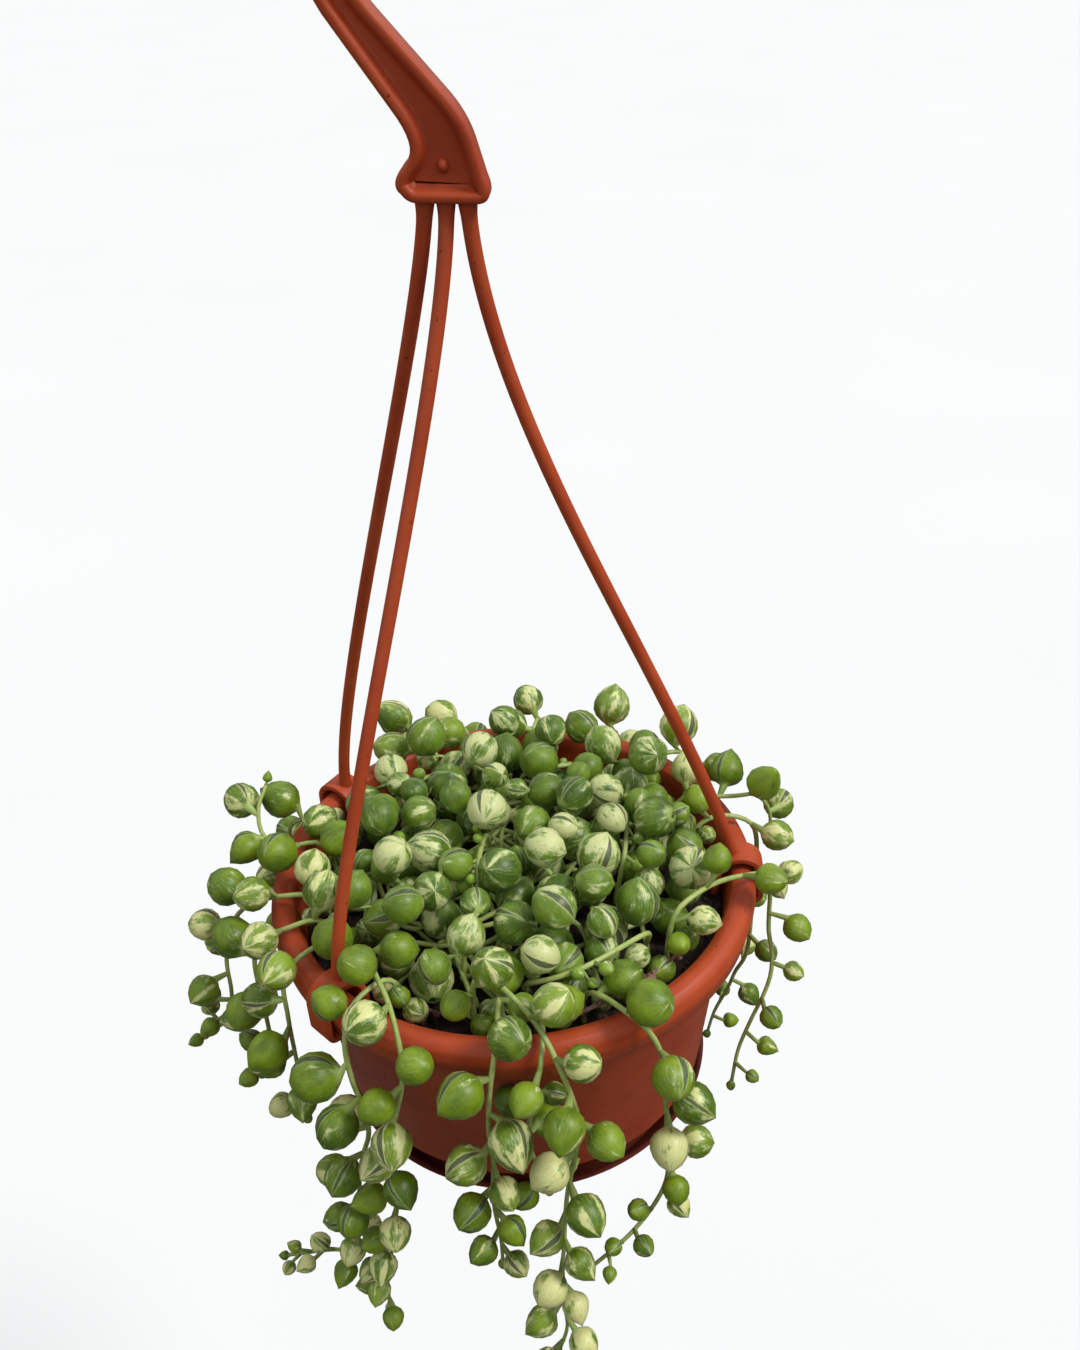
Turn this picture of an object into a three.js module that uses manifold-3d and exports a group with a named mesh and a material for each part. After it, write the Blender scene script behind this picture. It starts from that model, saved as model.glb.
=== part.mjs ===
// Variegated string of pearls in a small hanging pot.
//
// A shallow plastic pot filled with soil, its saucer, and a hanger moulded in one
// piece: a hook, three arms and three clips round the rim band. A heap of round
// leaves, the pearls, covers the soil, and nineteen leafy stems trail over the rim.
//
// Millimetres, +Z up. The part is drawn with the top of the rim at height 0 and the
// pot's axis on Z, and the whole group is then lowered, so that the origin is the
// inner top of the hook, where a rail or a nail carries it.

import * as THREE from 'three';
import { mergeVertices } from 'three/addons/utils/BufferGeometryUtils.js';
import Module from 'manifold-3d';

const wasm = await Module();
wasm.setup();

// Driving dimensions of the pot
const RIM_RADIUS = 60;
const RIM_CREST_RADIUS = 56.5;
const SKIRT_DEPTH = 9.6;
const WALL = 1.3;
const POT_DEPTH = 58.5;
const WALL_TOP_RADIUS = 54.3;
const WALL_FOOT_RADIUS = 47.6;
const FOOT_RADIUS = 40.5;
const FOOT_DEPTH = 5;
const BEAD = 1;
const DRAIN_COUNT = 4;
const DRAIN_RADIUS = 3;
const DRAIN_CIRCLE = 24;
const ROUND_STEPS = 24;
const GAP = 0.35;

// Driving dimensions of the saucer
const SAUCER_RADIUS = 48.6;
const SAUCER_RIM_Z = -62.4;
const SAUCER_FLOOR_RADIUS = 38;
const SAUCER_FLOOR_Z = -67.6;
const LUG_COUNT = 4;
const LUG_SLOT_WIDTH = 30;

// Driving dimensions of the soil
const SOIL_EDGE_Z = -10.3;
const SOIL_CROWN_Z = -8;

// Driving dimensions of the hanger
const HOOK_BASE_Z = 159;
const HOOK_BASE_SHIFT = -2.9;
const HOOK_TURN = -7.5;
const HOOK_THICKNESS = 6;
const WEB_THICKNESS = 2;
const FLANGE = 2.5;
const BEND_RADIUS = 22;
const BEND_RISE = 46;
const HALF_RIBBON = 3.6;
const ARM_RADIUS = 1.5;
const ARM_SPACING = 3.9;
const ARM_FOOT_RADIUS = 54.4;
const ARM_FOOT_Z = 2.2;
const CLIP_WIDTH = 7;
const CLIP_WALL = 1.5;
const CLIP_RISE = 1.4;
const CLIP_SLACK = 0.9;

// Driving dimensions of the plant
const STEM_RADIUS = 0.8;
const STEM_SIDES = 4;
const SOIL_HOLE_RADIUS = 1.8;
const MAT_RADIUS = 47;
const CORE_RADIUS = 43;
const CORE_CROWN_Z = 1;
const CORE_EDGE_Z = -8.4;
const CORE_STEPS = 16;
const MAT_PEARLS = 98;
const MAT_TRIES = 60;
const MAT_SMALLEST = 3.3;
const MAT_LARGEST = 6;
const MAT_SWAY = 5;
const DOME = 0.002;
const TOUCH = 0.3;
const PEARL_GAP = 0.5;
const NARROW_TURN = 15;
const WIDE_TURN = 65;
const SWINGS = [0, 35, -35, 70, -70, 110, -110, 150, -150, 180];
const TIP_LEAN = 0.35;
const FIRST_PEARL = 17;
const STALK_RADIUS = 0.6;
const BUD_RADIUS = 1.3;
const PEARL_SWELL = 1.04;
const TIP_REACH = 1.2;
const ROOT_DEPTH = 0.3;
const STEM_STEP = 10;

const SEAT_Z = HOOK_BASE_Z + BEND_RISE + BEND_RADIUS - HALF_RIBBON;

const radians = THREE.MathUtils.degToRad;
const lerp = THREE.MathUtils.lerp;

// Materials
const plastic = { roughness: 0.45, metalness: 0 };
const waxy = { roughness: 0.35, metalness: 0 };
const TERRACOTTA = 0xa8452a;
const MAROON = 0x5e2018;
const SOIL_BROWN = 0x241a14;
const MAT_GREEN = 0x5f7f3f;
const STRAND_GREEN = 0x7c9a3c;

// Solids

function solidOf(geometry) {
  geometry.deleteAttribute('normal');
  geometry.deleteAttribute('uv');
  const merged = mergeVertices(geometry, 1e-4);
  const vertProperties = new Float32Array(merged.attributes.position.array);
  const triVerts = new Uint32Array(merged.index.array);
  return new wasm.Manifold(new wasm.Mesh({ numProp: 3, vertProperties, triVerts }));
}

function geometryOf(solid) {
  const mesh = solid.getMesh();
  const geometry = new THREE.BufferGeometry();
  geometry.setAttribute('position', new THREE.BufferAttribute(mesh.vertProperties, 3));
  geometry.setIndex(new THREE.BufferAttribute(mesh.triVerts, 1));
  geometry.computeVertexNormals();
  return geometry;
}

function meshOf(name, solid, colour, finish) {
  const material = new THREE.MeshStandardMaterial({ color: colour, ...finish });
  const mesh = new THREE.Mesh(geometryOf(solid), material);
  mesh.name = name;
  return mesh;
}

// A closed profile of [radius, height] pairs turned round Z
function turned(profile, steps) {
  const points = profile.map(([radius, height]) => new THREE.Vector2(radius, height));
  return solidOf(new THREE.LatheGeometry(points, steps).rotateX(Math.PI / 2));
}

function at(azimuth, radius, height) {
  const angle = radians(azimuth);
  return new THREE.Vector3(radius * Math.cos(angle), radius * Math.sin(angle), height);
}

// Pot: wall, rolled rim with a free skirt, floor and foot ring, as one closed profile
const floorTop = -POT_DEPTH + 1.5;
const potProfile = [
  [0, -POT_DEPTH],
  [FOOT_RADIUS - 1.8, -POT_DEPTH],
  [FOOT_RADIUS - 1.4, -POT_DEPTH - FOOT_DEPTH],
  [FOOT_RADIUS + BEAD, -POT_DEPTH - FOOT_DEPTH],
  [FOOT_RADIUS + BEAD, -POT_DEPTH - FOOT_DEPTH + BEAD],
  [FOOT_RADIUS, -POT_DEPTH - FOOT_DEPTH + BEAD],
  [FOOT_RADIUS, -POT_DEPTH],
  [WALL_FOOT_RADIUS - 0.9, -POT_DEPTH],
  [WALL_FOOT_RADIUS, -POT_DEPTH + 1],
  [WALL_TOP_RADIUS, -3.4],
  [RIM_CREST_RADIUS, -1.5],
  [RIM_RADIUS - 1.4, -3.6],
  [RIM_RADIUS - 2.4, -SKIRT_DEPTH],
  [RIM_RADIUS - 1.1, -SKIRT_DEPTH],
  [RIM_RADIUS, -4.2],
  [RIM_RADIUS - 0.7, -1.6],
  [RIM_RADIUS - 2.1, -0.2],
  [RIM_CREST_RADIUS - 0.6, 0],
  [WALL_TOP_RADIUS - 0.3, -0.9],
  [WALL_TOP_RADIUS - WALL, -3.6],
  [WALL_FOOT_RADIUS - WALL - 0.2, floorTop],
  [0, floorTop],
];

function pot() {
  let body = turned(potProfile, ROUND_STEPS);
  for (let hole = 0; hole < DRAIN_COUNT; hole += 1) {
    const drill = new THREE.CylinderGeometry(DRAIN_RADIUS, DRAIN_RADIUS, 6, 6);
    const place = at((hole * 360) / DRAIN_COUNT, DRAIN_CIRCLE, -POT_DEPTH);
    drill.rotateX(Math.PI / 2).translate(place.x, place.y, place.z);
    body = body.subtract(solidOf(drill));
  }
  return meshOf('pot', body, TERRACOTTA, plastic);
}

// Saucer: a dish whose inner ring, cut into lugs, grips the bead of the pot's foot ring
const lugInner = FOOT_RADIUS + BEAD + GAP;
const beadTop = -POT_DEPTH - FOOT_DEPTH + BEAD;
const saucerProfile = [
  [0, SAUCER_FLOOR_Z - WALL],
  [SAUCER_FLOOR_RADIUS, SAUCER_FLOOR_Z - WALL],
  [SAUCER_FLOOR_RADIUS + 4.5, SAUCER_FLOOR_Z - 0.4],
  [SAUCER_RADIUS, SAUCER_RIM_Z],
  [SAUCER_RADIUS - WALL, SAUCER_RIM_Z],
  [lugInner + WALL, SAUCER_FLOOR_Z + 1.2],
  [lugInner + WALL, beadTop + GAP + 1.5],
  [lugInner, beadTop + GAP + 1.5],
  [lugInner - 0.8, beadTop + GAP + 0.5],
  [lugInner - 0.8, beadTop + GAP],
  [lugInner, beadTop + GAP],
  [lugInner, SAUCER_FLOOR_Z],
  [0, SAUCER_FLOOR_Z],
];

function saucer() {
  let body = turned(saucerProfile, ROUND_STEPS);
  for (let slot = 0; slot < LUG_COUNT / 2; slot += 1) {
    const cutter = new THREE.BoxGeometry(2 * lugInner + 2 * WALL + 1, LUG_SLOT_WIDTH, 8);
    cutter.rotateZ(radians(45 + 90 * slot)).translate(0, 0, SAUCER_FLOOR_Z + 4 + 1.2);
    body = body.subtract(solidOf(cutter));
  }
  return meshOf('saucer', body, MAROON, plastic);
}

// Hanger

// The hook's outline in its own plane, from the base line up
function hookOutline() {
  const rad = radians;
  const tip = { x: BEND_RADIUS * Math.cos(rad(-8)), y: BEND_RISE + BEND_RADIUS * Math.sin(rad(-8)) };
  const inner = BEND_RADIUS - HALF_RIBBON;
  const outer = BEND_RADIUS + HALF_RIBBON;
  const outline = new THREE.Shape();
  outline.moveTo(-7.7, 0.1);
  outline.lineTo(2.6, -0.4);
  outline.quadraticCurveTo(6.6, -0.6, 4.7, 4.2);
  outline.lineTo(3.1, 10.2);
  outline.quadraticCurveTo(1.9, 14.6, -1.6, 18.6);
  outline.lineTo(-12.3, 31.3);
  outline.quadraticCurveTo(-16, 35.7, inner * Math.cos(rad(195)), BEND_RISE + inner * Math.sin(rad(195)));
  outline.absarc(0, BEND_RISE, inner, rad(195), rad(-8), true);
  outline.absarc(tip.x, tip.y, HALF_RIBBON, rad(172), rad(352), false);
  outline.absarc(0, BEND_RISE, outer, rad(-8), rad(185), false);
  outline.quadraticCurveTo(-24.9, 38.4, -21, 31.2);
  outline.lineTo(-11, 16);
  outline.quadraticCurveTo(-6.6, 9.6, -9.2, 7.2);
  outline.quadraticCurveTo(-12.9, 3.6, -10.6, 1.7);
  outline.quadraticCurveTo(-9.6, 0.2, -7.7, 0.1);
  return distinct(outline.getPoints(3));
}

// The points of a closed outline without those that two of its stretches share
function distinct(points) {
  return points.filter((point, i) => point.distanceTo(points[(i + 1) % points.length]) > 0.01);
}

// The outline moved inwards by the flange, which bounds the recessed web. Points that
// a tight corner brings too near the outline are left out.
function moveInwards(points, distance) {
  const count = points.length;
  const outline = points.map(({ x, y }) => [x, y]);
  const moved = [];
  for (let i = 0; i < count; i += 1) {
    const before = points[(i + count - 1) % count];
    const after = points[(i + 1) % count];
    const along = new THREE.Vector2().subVectors(after, before).setLength(distance);
    const point = new THREE.Vector2(points[i].x - along.y, points[i].y + along.x);
    if (gapToOutline(point.x, point.y, outline) < -0.95 * distance) moved.push(point);
  }
  return moved;
}

// Distance from a point to a closed outline of [x, y] pairs, negative inside it
function gapToOutline(x, y, outline) {
  let nearest = Infinity;
  let inside = false;
  for (let i = 0; i < outline.length; i += 1) {
    const [x1, y1] = outline[i];
    const [x2, y2] = outline[(i + 1) % outline.length];
    const dx = x2 - x1;
    const dy = y2 - y1;
    const share = ((x - x1) * dx + (y - y1) * dy) / (dx * dx + dy * dy);
    const held = Math.min(Math.max(share, 0), 1);
    const offX = x1 + held * dx - x;
    const offY = y1 + held * dy - y;
    nearest = Math.min(nearest, Math.sqrt(offX * offX + offY * offY));
    if ((y1 > y) !== (y2 > y) && x < x1 + ((y - y1) * dx) / dy) {
      inside = !inside;
    }
  }
  return inside ? -nearest : nearest;
}

function plate(points, thickness, middle) {
  const geometry = new THREE.ExtrudeGeometry(new THREE.Shape(points), {
    depth: thickness,
    bevelEnabled: false,
  });
  geometry.translate(0, 0, middle - thickness / 2).rotateX(Math.PI / 2);
  return solidOf(geometry);
}

// A line of points made into a ribbon of even width
function ribbon(line, width) {
  const left = [];
  const right = [];
  for (let i = 0; i < line.length; i += 1) {
    const before = line[Math.max(i - 1, 0)];
    const after = line[Math.min(i + 1, line.length - 1)];
    const along = new THREE.Vector2().subVectors(after, before).setLength(width / 2);
    left.push(new THREE.Vector2(line[i].x - along.y, line[i].y + along.x));
    right.unshift(new THREE.Vector2(line[i].x + along.y, line[i].y - along.x));
  }
  return left.concat(right);
}

// A clip's middle line: down inside the wall, in a hood over the rim and in under the
// skirt. The pot's facets lie a little inside its round, and the clip keeps clear of them.
const facetShare = Math.cos(Math.PI / ROUND_STEPS);
const clipOff = GAP + CLIP_WALL / 2;
const clipInside = (WALL_TOP_RADIUS - WALL) * facetShare - clipOff - CLIP_SLACK;
const clipOutside = RIM_RADIUS + clipOff;
const clipTop = clipOff + CLIP_RISE;
const clipBottom = -SKIRT_DEPTH - clipOff;

function clipLine() {
  const round = 5;
  const heel = 2;
  const line = new THREE.Path();
  line.moveTo(clipInside - 1, -8.2);
  line.lineTo(clipInside, clipTop - round);
  line.absarc(clipInside + round, clipTop - round, round, Math.PI, Math.PI / 2, true);
  line.absarc(clipOutside - round, clipTop - round, round, Math.PI / 2, 0, true);
  line.absarc(clipOutside - heel, clipBottom + heel, heel, 0, -Math.PI / 2, true);
  line.lineTo(clipOutside - 4.6, clipBottom + 0.2);
  line.lineTo(clipOutside - 5.2, clipBottom + 1.1);
  return distinct(line.getPoints(2));
}

// Where each arm starts along the hook's base, where its clip sits and how it bows
const arms = [
  { place: 1, azimuth: -6, dropZ: 116, kneeShare: 0.7, kneeZ: 56 },
  { place: -1, azimuth: 142, dropZ: 142, kneeShare: 1, kneeZ: 31 },
  { place: 0, azimuth: -138, dropZ: 132, kneeShare: 1, kneeZ: 29 },
];

function armCurve({ place, azimuth, dropZ, kneeShare, kneeZ }) {
  const start = at(HOOK_TURN, HOOK_BASE_SHIFT + place * ARM_SPACING, HOOK_BASE_Z + 1);
  const foot = at(azimuth, ARM_FOOT_RADIUS, ARM_FOOT_Z);
  const drop = start.clone().setZ(dropZ);
  const knee = start.clone().lerp(foot, kneeShare).setZ(kneeZ);
  return new THREE.CubicBezierCurve3(start, drop, knee, foot);
}

function sweep(curve, radius, sides, steps) {
  const section = new THREE.Shape();
  for (let side = 0; side < sides; side += 1) {
    const angle = (side * 2 * Math.PI) / sides;
    const move = side === 0 ? 'moveTo' : 'lineTo';
    section[move](radius * Math.cos(angle), radius * Math.sin(angle));
  }
  const settings = { steps, bevelEnabled: false, extrudePath: curve };
  return solidOf(new THREE.ExtrudeGeometry(section, settings));
}

function hanger() {
  const outline = hookOutline();
  const web = moveInwards(outline, FLANGE);
  const pocketDepth = (HOOK_THICKNESS - WEB_THICKNESS) / 2;
  const pocketMiddle = (WEB_THICKNESS + pocketDepth + 0.1) / 2;
  let hook = plate(outline, HOOK_THICKNESS, 0);
  hook = hook.subtract(plate(web, pocketDepth + 0.1, pocketMiddle));
  hook = hook.subtract(plate(web, pocketDepth + 0.1, -pocketMiddle));
  const nub = new THREE.CylinderGeometry(1.2, 1.2, WEB_THICKNESS + 1.8, 6).translate(-2.8, 0, 6.2);
  hook = hook.add(solidOf(nub));
  let body = hook.rotate([0, 0, HOOK_TURN]).translate([0, 0, HOOK_BASE_Z]);
  for (const arm of arms) {
    body = body.add(sweep(armCurve(arm), ARM_RADIUS, 6, 12));
    body = body.add(plate(ribbon(clipLine(), CLIP_WALL), CLIP_WIDTH, 0).rotate([0, 0, arm.azimuth]));
  }
  return meshOf('hanger', body, TERRACOTTA, plastic);
}

// Plant

// Each trailing stem: the course of its middle line from the soil, as [azimuth, radius,
// height], with the radii of its first and last pearls, how close the pearls stand
// together in radii, and the length of their stalks
const strands = [
  {
    name: 'strand_front_left_1', big: 4.9, small: 2.6, pace: 2.05, stalk: 1.2, seed: 11,
    course: [[-137, 45.5, -12.5], [-137, 45.5, -2], [-135, 47, 7], [-129, 51, 7.5], [-122, 55, 5.5],
      [-117, 60, 2.4], [-115, 62.8, -3], [-115.5, 63.5, -10], [-118, 64, -22], [-120, 64, -36],
      [-120.5, 64, -50], [-122.5, 64.5, -63], [-124.5, 65, -76], [-127, 65, -88], [-127, 66, -98]],
  },
  {
    name: 'strand_front_left_2', big: 5.8, small: 1.5, pace: 1.9, stalk: 1.2, seed: 23,
    course: [[-124, 46, -12.5], [-125, 46, -3], [-127, 49, 3.5], [-128.5, 54, 4.2], [-129, 59.5, 2.6],
      [-128, 63.5, -3], [-126.5, 65, -12], [-125, 65, -20], [-124.5, 65, -29], [-127, 65.5, -39],
      [-129, 66, -49], [-129.5, 66, -61], [-130.5, 66, -72], [-133, 67, -80], [-139, 69.6, -84],
      [-148, 77, -92]],
  },
  {
    name: 'strand_front_left_3', big: 5.4, small: 2.4, pace: 1.8, stalk: 1.2, seed: 31,
    course: [[-149, 46, -12.5], [-149, 46, -2], [-149.5, 50.5, 3], [-150, 56.5, 2.6],
      [-149.5, 62, -0.6], [-148.5, 63.6, -12], [-148, 64, -22], [-147, 64.5, -33], [-146.5, 65, -43]],
  },
  {
    name: 'strand_left_1', big: 5.4, small: 2, pace: 1.8, stalk: 1.8, seed: 47,
    course: [[-157, 46, -12.5], [-157, 46, -2], [-159, 50, 3], [-160.5, 56.2, 2.2], [-162.5, 61.2, -0.6],
      [-163, 65, -5], [-163, 66, -17], [-162, 66, -27], [-161.3, 66.5, -35], [-163, 69.5, -44.5]],
  },
  {
    name: 'strand_left_2', big: 5, small: 1.8, pace: 1.75, stalk: 2, seed: 53,
    course: [[-167, 46, -12.5], [-167, 46, -2], [-168.5, 50, 3.5], [-171, 56, 3], [-174, 61.5, 0.2],
      [-176, 67.5, -4.5], [-175, 71.5, -10.5], [-174, 73.3, -19], [-172.5, 73.5, -27],
      [-172, 75.5, -35], [-174, 82, -42]],
  },
  {
    name: 'strand_left_3', big: 5.2, small: 4.2, pace: 1.5, stalk: 1.2, seed: 61,
    course: [[172, 45, -12.5], [172, 45, -1], [172, 48, 5.5], [172, 54, 4.8], [171.5, 59.5, 4.4],
      [170, 63, 7], [167, 64, 12], [163, 63, 16]],
  },
  {
    name: 'strand_front_1', big: 5.1, small: 2.8, pace: 1.85, stalk: 1.2, seed: 71,
    course: [[-96, 46, -12.5], [-96, 46, -2], [-96, 49.5, 5], [-96, 55.5, 3.2], [-96.5, 61.5, 0.4],
      [-97.5, 63.8, -6], [-98.5, 64, -20], [-98.3, 64, -30], [-99, 64, -46], [-98.3, 64, -59],
      [-98.4, 64, -67]],
  },
  {
    name: 'strand_front_2', big: 4.7, small: 3.4, pace: 2.15, stalk: 1.6, seed: 83,
    course: [[-104, 45, -12.5], [-104, 45, 0], [-102, 46.5, 8], [-97.5, 49, 11], [-92.5, 52.5, 9.5],
      [-89, 56, 7.4], [-86.3, 60.5, 5], [-84, 64.6, -1], [-82.2, 65.4, -10], [-81.2, 65, -18.5],
      [-81.9, 65, -27.5], [-84, 65.5, -40], [-85, 66, -51], [-85.6, 66, -62], [-86.5, 66, -72],
      [-86.2, 66, -83], [-85.8, 66, -93.5], [-87.7, 66, -103]],
  },
  {
    name: 'strand_front_3', big: 4.5, small: 3.2, pace: 1.7, stalk: 1.2, seed: 97,
    course: [[-87, 46, -12.5], [-86.5, 46, -2], [-86, 50.5, 3], [-86.3, 56.5, 2.6], [-87.4, 62, -0.2],
      [-88.5, 63, -6], [-89.8, 62, -14], [-91, 61.5, -27], [-89.6, 61, -36], [-87.8, 61, -44]],
  },
  {
    name: 'strand_front_right_1', big: 4.9, small: 1.8, pace: 2.05, stalk: 1.4, seed: 101,
    course: [[-73, 46, -12.5], [-73, 46, -2], [-71.5, 51, 3.5], [-67.5, 57.5, 2.3], [-65, 62, -0.5],
      [-63.2, 63.8, -7], [-62.6, 64.5, -14], [-62.8, 65, -22], [-61.8, 65, -32], [-61.7, 65, -43],
      [-63, 65.5, -51], [-66.5, 66, -56.5], [-71.7, 67, -60.8], [-76, 68, -63], [-80, 69, -65]],
  },
  {
    name: 'strand_right_1', big: 3.9, small: 1.8, pace: 3.5, stalk: 2.6, seed: 113,
    course: [[-42, 46, -12.5], [-42, 46, -1], [-39, 47, 8], [-30, 50, 9.5], [-22, 53, 7],
      [-16, 57.5, 4.2], [-11.5, 61.5, 0.5], [-9.8, 63.4, -7], [-9.4, 63.6, -14], [-10, 63.8, -20],
      [-12, 64.8, -25], [-14, 64.8, -30], [-16, 63.5, -35], [-19, 61, -41], [-22, 58.5, -49.5],
      [-24, 57.5, -60]],
  },
  {
    name: 'strand_right_2', big: 4, small: 2.2, pace: 3.3, stalk: 2, seed: 127,
    course: [[8, 46, -12.5], [8, 46, -2], [8, 50.5, 3], [8, 56.5, 2.8], [7, 62, -0.4],
      [6, 63.4, -12], [5, 62.4, -24], [5, 62.4, -36], [5, 61.5, -45], [8, 60, -54], [10, 59, -62],
      [12, 56, -73], [14, 55, -83]],
  },
  {
    name: 'strand_right_3', big: 4.8, small: 3.6, pace: 1.7, stalk: 2, seed: 131,
    course: [[22, 46, -12.5], [22, 46, -2], [19, 50, 4], [16, 56, 3.2], [14, 61, 3.4],
      [12.5, 65, 4], [11, 68, 0.5], [10.5, 69, -7]],
  },
  {
    name: 'strand_back_right_1', big: 5, small: 3, pace: 1.95, stalk: 1.2, seed: 139,
    course: [[38, 46, -12.5], [38, 46, -1], [37, 50, 6], [36, 55.5, 5.5], [34.5, 60.5, 3],
      [35, 63, -4], [36, 63, -14], [37, 63, -26], [38, 63, -40], [40, 63, -52]],
  },
  {
    name: 'strand_back_right_2', big: 5.2, small: 2.6, pace: 1.95, stalk: 1.2, seed: 149,
    course: [[58, 46, -12.5], [58, 46, -2], [58, 50, 3.6], [58, 56.5, 2], [58.5, 61.6, -1.5],
      [59, 62.6, -12], [60, 63, -26], [59, 63, -38], [57, 63, -50], [56, 63, -60]],
  },
  {
    name: 'strand_back_1', big: 5, small: 3, pace: 1.85, stalk: 1.2, seed: 151,
    course: [[80, 46, -12.5], [80, 46, -2], [80, 50, 3.6], [80, 56.5, 2.6], [80, 62, -0.8],
      [81, 62.6, -12], [82, 63, -26], [81, 63, -40]],
  },
  {
    name: 'strand_back_2', big: 5, small: 2.4, pace: 2.05, stalk: 1.2, seed: 163,
    course: [[101, 46, -12.5], [101, 46, -2], [101, 50, 3.6], [101, 56.5, 2], [101, 61.6, -1.5],
      [100, 62.6, -12], [99, 63, -26], [100, 63, -40], [102, 63, -54], [102, 64, -66]],
  },
  {
    name: 'strand_back_left_1', big: 5.2, small: 3.6, pace: 1.6, stalk: 1.4, seed: 173,
    course: [[120, 46, -12.5], [120, 46, -2], [118, 50, 5], [116.5, 56, 5.2], [115, 61.5, 4],
      [115, 64.5, -3], [116, 65, -14], [118, 65, -26]],
  },
  {
    name: 'strand_back_left_2', big: 5, small: 2.6, pace: 1.85, stalk: 1.2, seed: 181,
    course: [[157, 46, -12.5], [157, 46, -2], [157, 50, 3.6], [158, 56.5, 2], [158, 61.6, -1.5],
      [158, 62.8, -12], [159, 63, -24], [160, 63, -36]],
  },
];

// Seeded random numbers from 0 to 1
let state = 1;

function random() {
  state = (Math.imul(state, 1664525) + 1013904223) >>> 0;
  return state / 4294967296;
}

// Everything that a pearl keeps clear of: balls, rods and the turned pot and saucer
const balls = [];
const rods = [];

function addRods(points, radius, owner) {
  for (let i = 1; i < points.length; i += 1) {
    rods.push({ from: points[i - 1], to: points[i], radius, owner });
  }
}

function nearestOn(from, to, point) {
  const along = to.clone().sub(from);
  const share = point.clone().sub(from).dot(along) / along.lengthSq();
  return along.multiplyScalar(Math.min(Math.max(share, 0), 1)).add(from);
}

function gapToRod(point, rod) {
  return nearestOn(rod.from, rod.to, point).distanceTo(point) - rod.radius;
}

// Distance from a point to a turned profile
function gapToProfile(point, profile) {
  return gapToOutline(Math.sqrt(point.x * point.x + point.y * point.y), point.z, profile);
}

function soilHeight(radius) {
  const share = Math.min(radius / (WALL_TOP_RADIUS - WALL), 1);
  return lerp(SOIL_CROWN_Z, SOIL_EDGE_Z, share * share);
}

function coreHeight(radius) {
  const share = Math.min(radius / CORE_RADIUS, 1);
  return lerp(CORE_CROWN_Z, CORE_EDGE_Z, share * share);
}

// Whether a ball is clear of all that isn't its owner's, and just clear of what is
function isClear(centre, radius, owner) {
  const reach = Math.sqrt(centre.x * centre.x + centre.y * centre.y);
  if (reach < RIM_RADIUS - 6 && centre.z - radius < soilHeight(reach) + PEARL_GAP) return false;
  if (gapToProfile(centre, potProfile) < radius + PEARL_GAP) return false;
  if (gapToProfile(centre, saucerProfile) < radius + PEARL_GAP) return false;
  for (const ball of balls) {
    const spare = ball.owner === owner ? TOUCH : PEARL_GAP;
    if (ball.centre.distanceTo(centre) < ball.radius + radius + spare) return false;
  }
  for (const rod of rods) {
    const spare = rod.owner === owner ? TOUCH : PEARL_GAP;
    if (gapToRod(centre, rod) < radius + spare) return false;
  }
  return true;
}

// Whether a thin stalk from a stem to a pearl is clear of all that isn't its owner's
function isStalkClear(from, to, owner) {
  for (const share of [0.25, 0.5, 0.75]) {
    const point = from.clone().lerp(to, share);
    const reach = Math.sqrt(point.x * point.x + point.y * point.y);
    if (reach > CORE_RADIUS && gapToProfile(point, potProfile) < STALK_RADIUS + GAP) return false;
    for (const ball of balls) {
      if (ball.owner !== owner && ball.centre.distanceTo(point) < ball.radius + STALK_RADIUS + GAP) {
        return false;
      }
    }
    for (const rod of rods) {
      if (rod.owner !== owner && gapToRod(point, rod) < STALK_RADIUS + GAP) return false;
    }
  }
  return true;
}

function keep(pearl, owner) {
  balls.push({ centre: pearl.centre, radius: pearl.radius, owner });
  rods.push({ from: pearl.from, to: pearl.centre, radius: STALK_RADIUS, owner });
}

function courseCurve(course) {
  return new THREE.CatmullRomCurve3(course.map((point) => at(...point)));
}

// The steps that a thin stem's sweep takes, and the line through the ends of its steps
function stemSteps(curve) {
  return Math.round(curve.getLength() / STEM_STEP);
}

function stemLine(curve) {
  return curve.getSpacedPoints(stemSteps(curve));
}

// The point at a distance along a line of points, with the line's direction there
function walk(line, distance) {
  let left = distance;
  for (let i = 1; i < line.length; i += 1) {
    const along = line[i].clone().sub(line[i - 1]);
    const span = along.length();
    if (left <= span || i === line.length - 1) {
      const share = Math.min(left / span, 1);
      return { point: line[i - 1].clone().lerp(line[i], share), along: along.normalize() };
    }
    left -= span;
  }
  return null;
}

function lengthOf(line) {
  let total = 0;
  for (let i = 1; i < line.length; i += 1) {
    total += line[i].distanceTo(line[i - 1]);
  }
  return total;
}

// A pearl's direction: turned round its stem from outwards and up, and leaning to the tip
function pearlDirection(point, along, turn) {
  const outwards = new THREE.Vector3(point.x, point.y, 0).normalize();
  outwards.z = 0.6;
  const side = along.clone().cross(outwards).normalize();
  const face = side.clone().cross(along);
  const angle = radians(turn);
  const direction = face.multiplyScalar(Math.cos(angle)).addScaledVector(side, Math.sin(angle));
  return direction.addScaledVector(along, TIP_LEAN).normalize();
}

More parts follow.
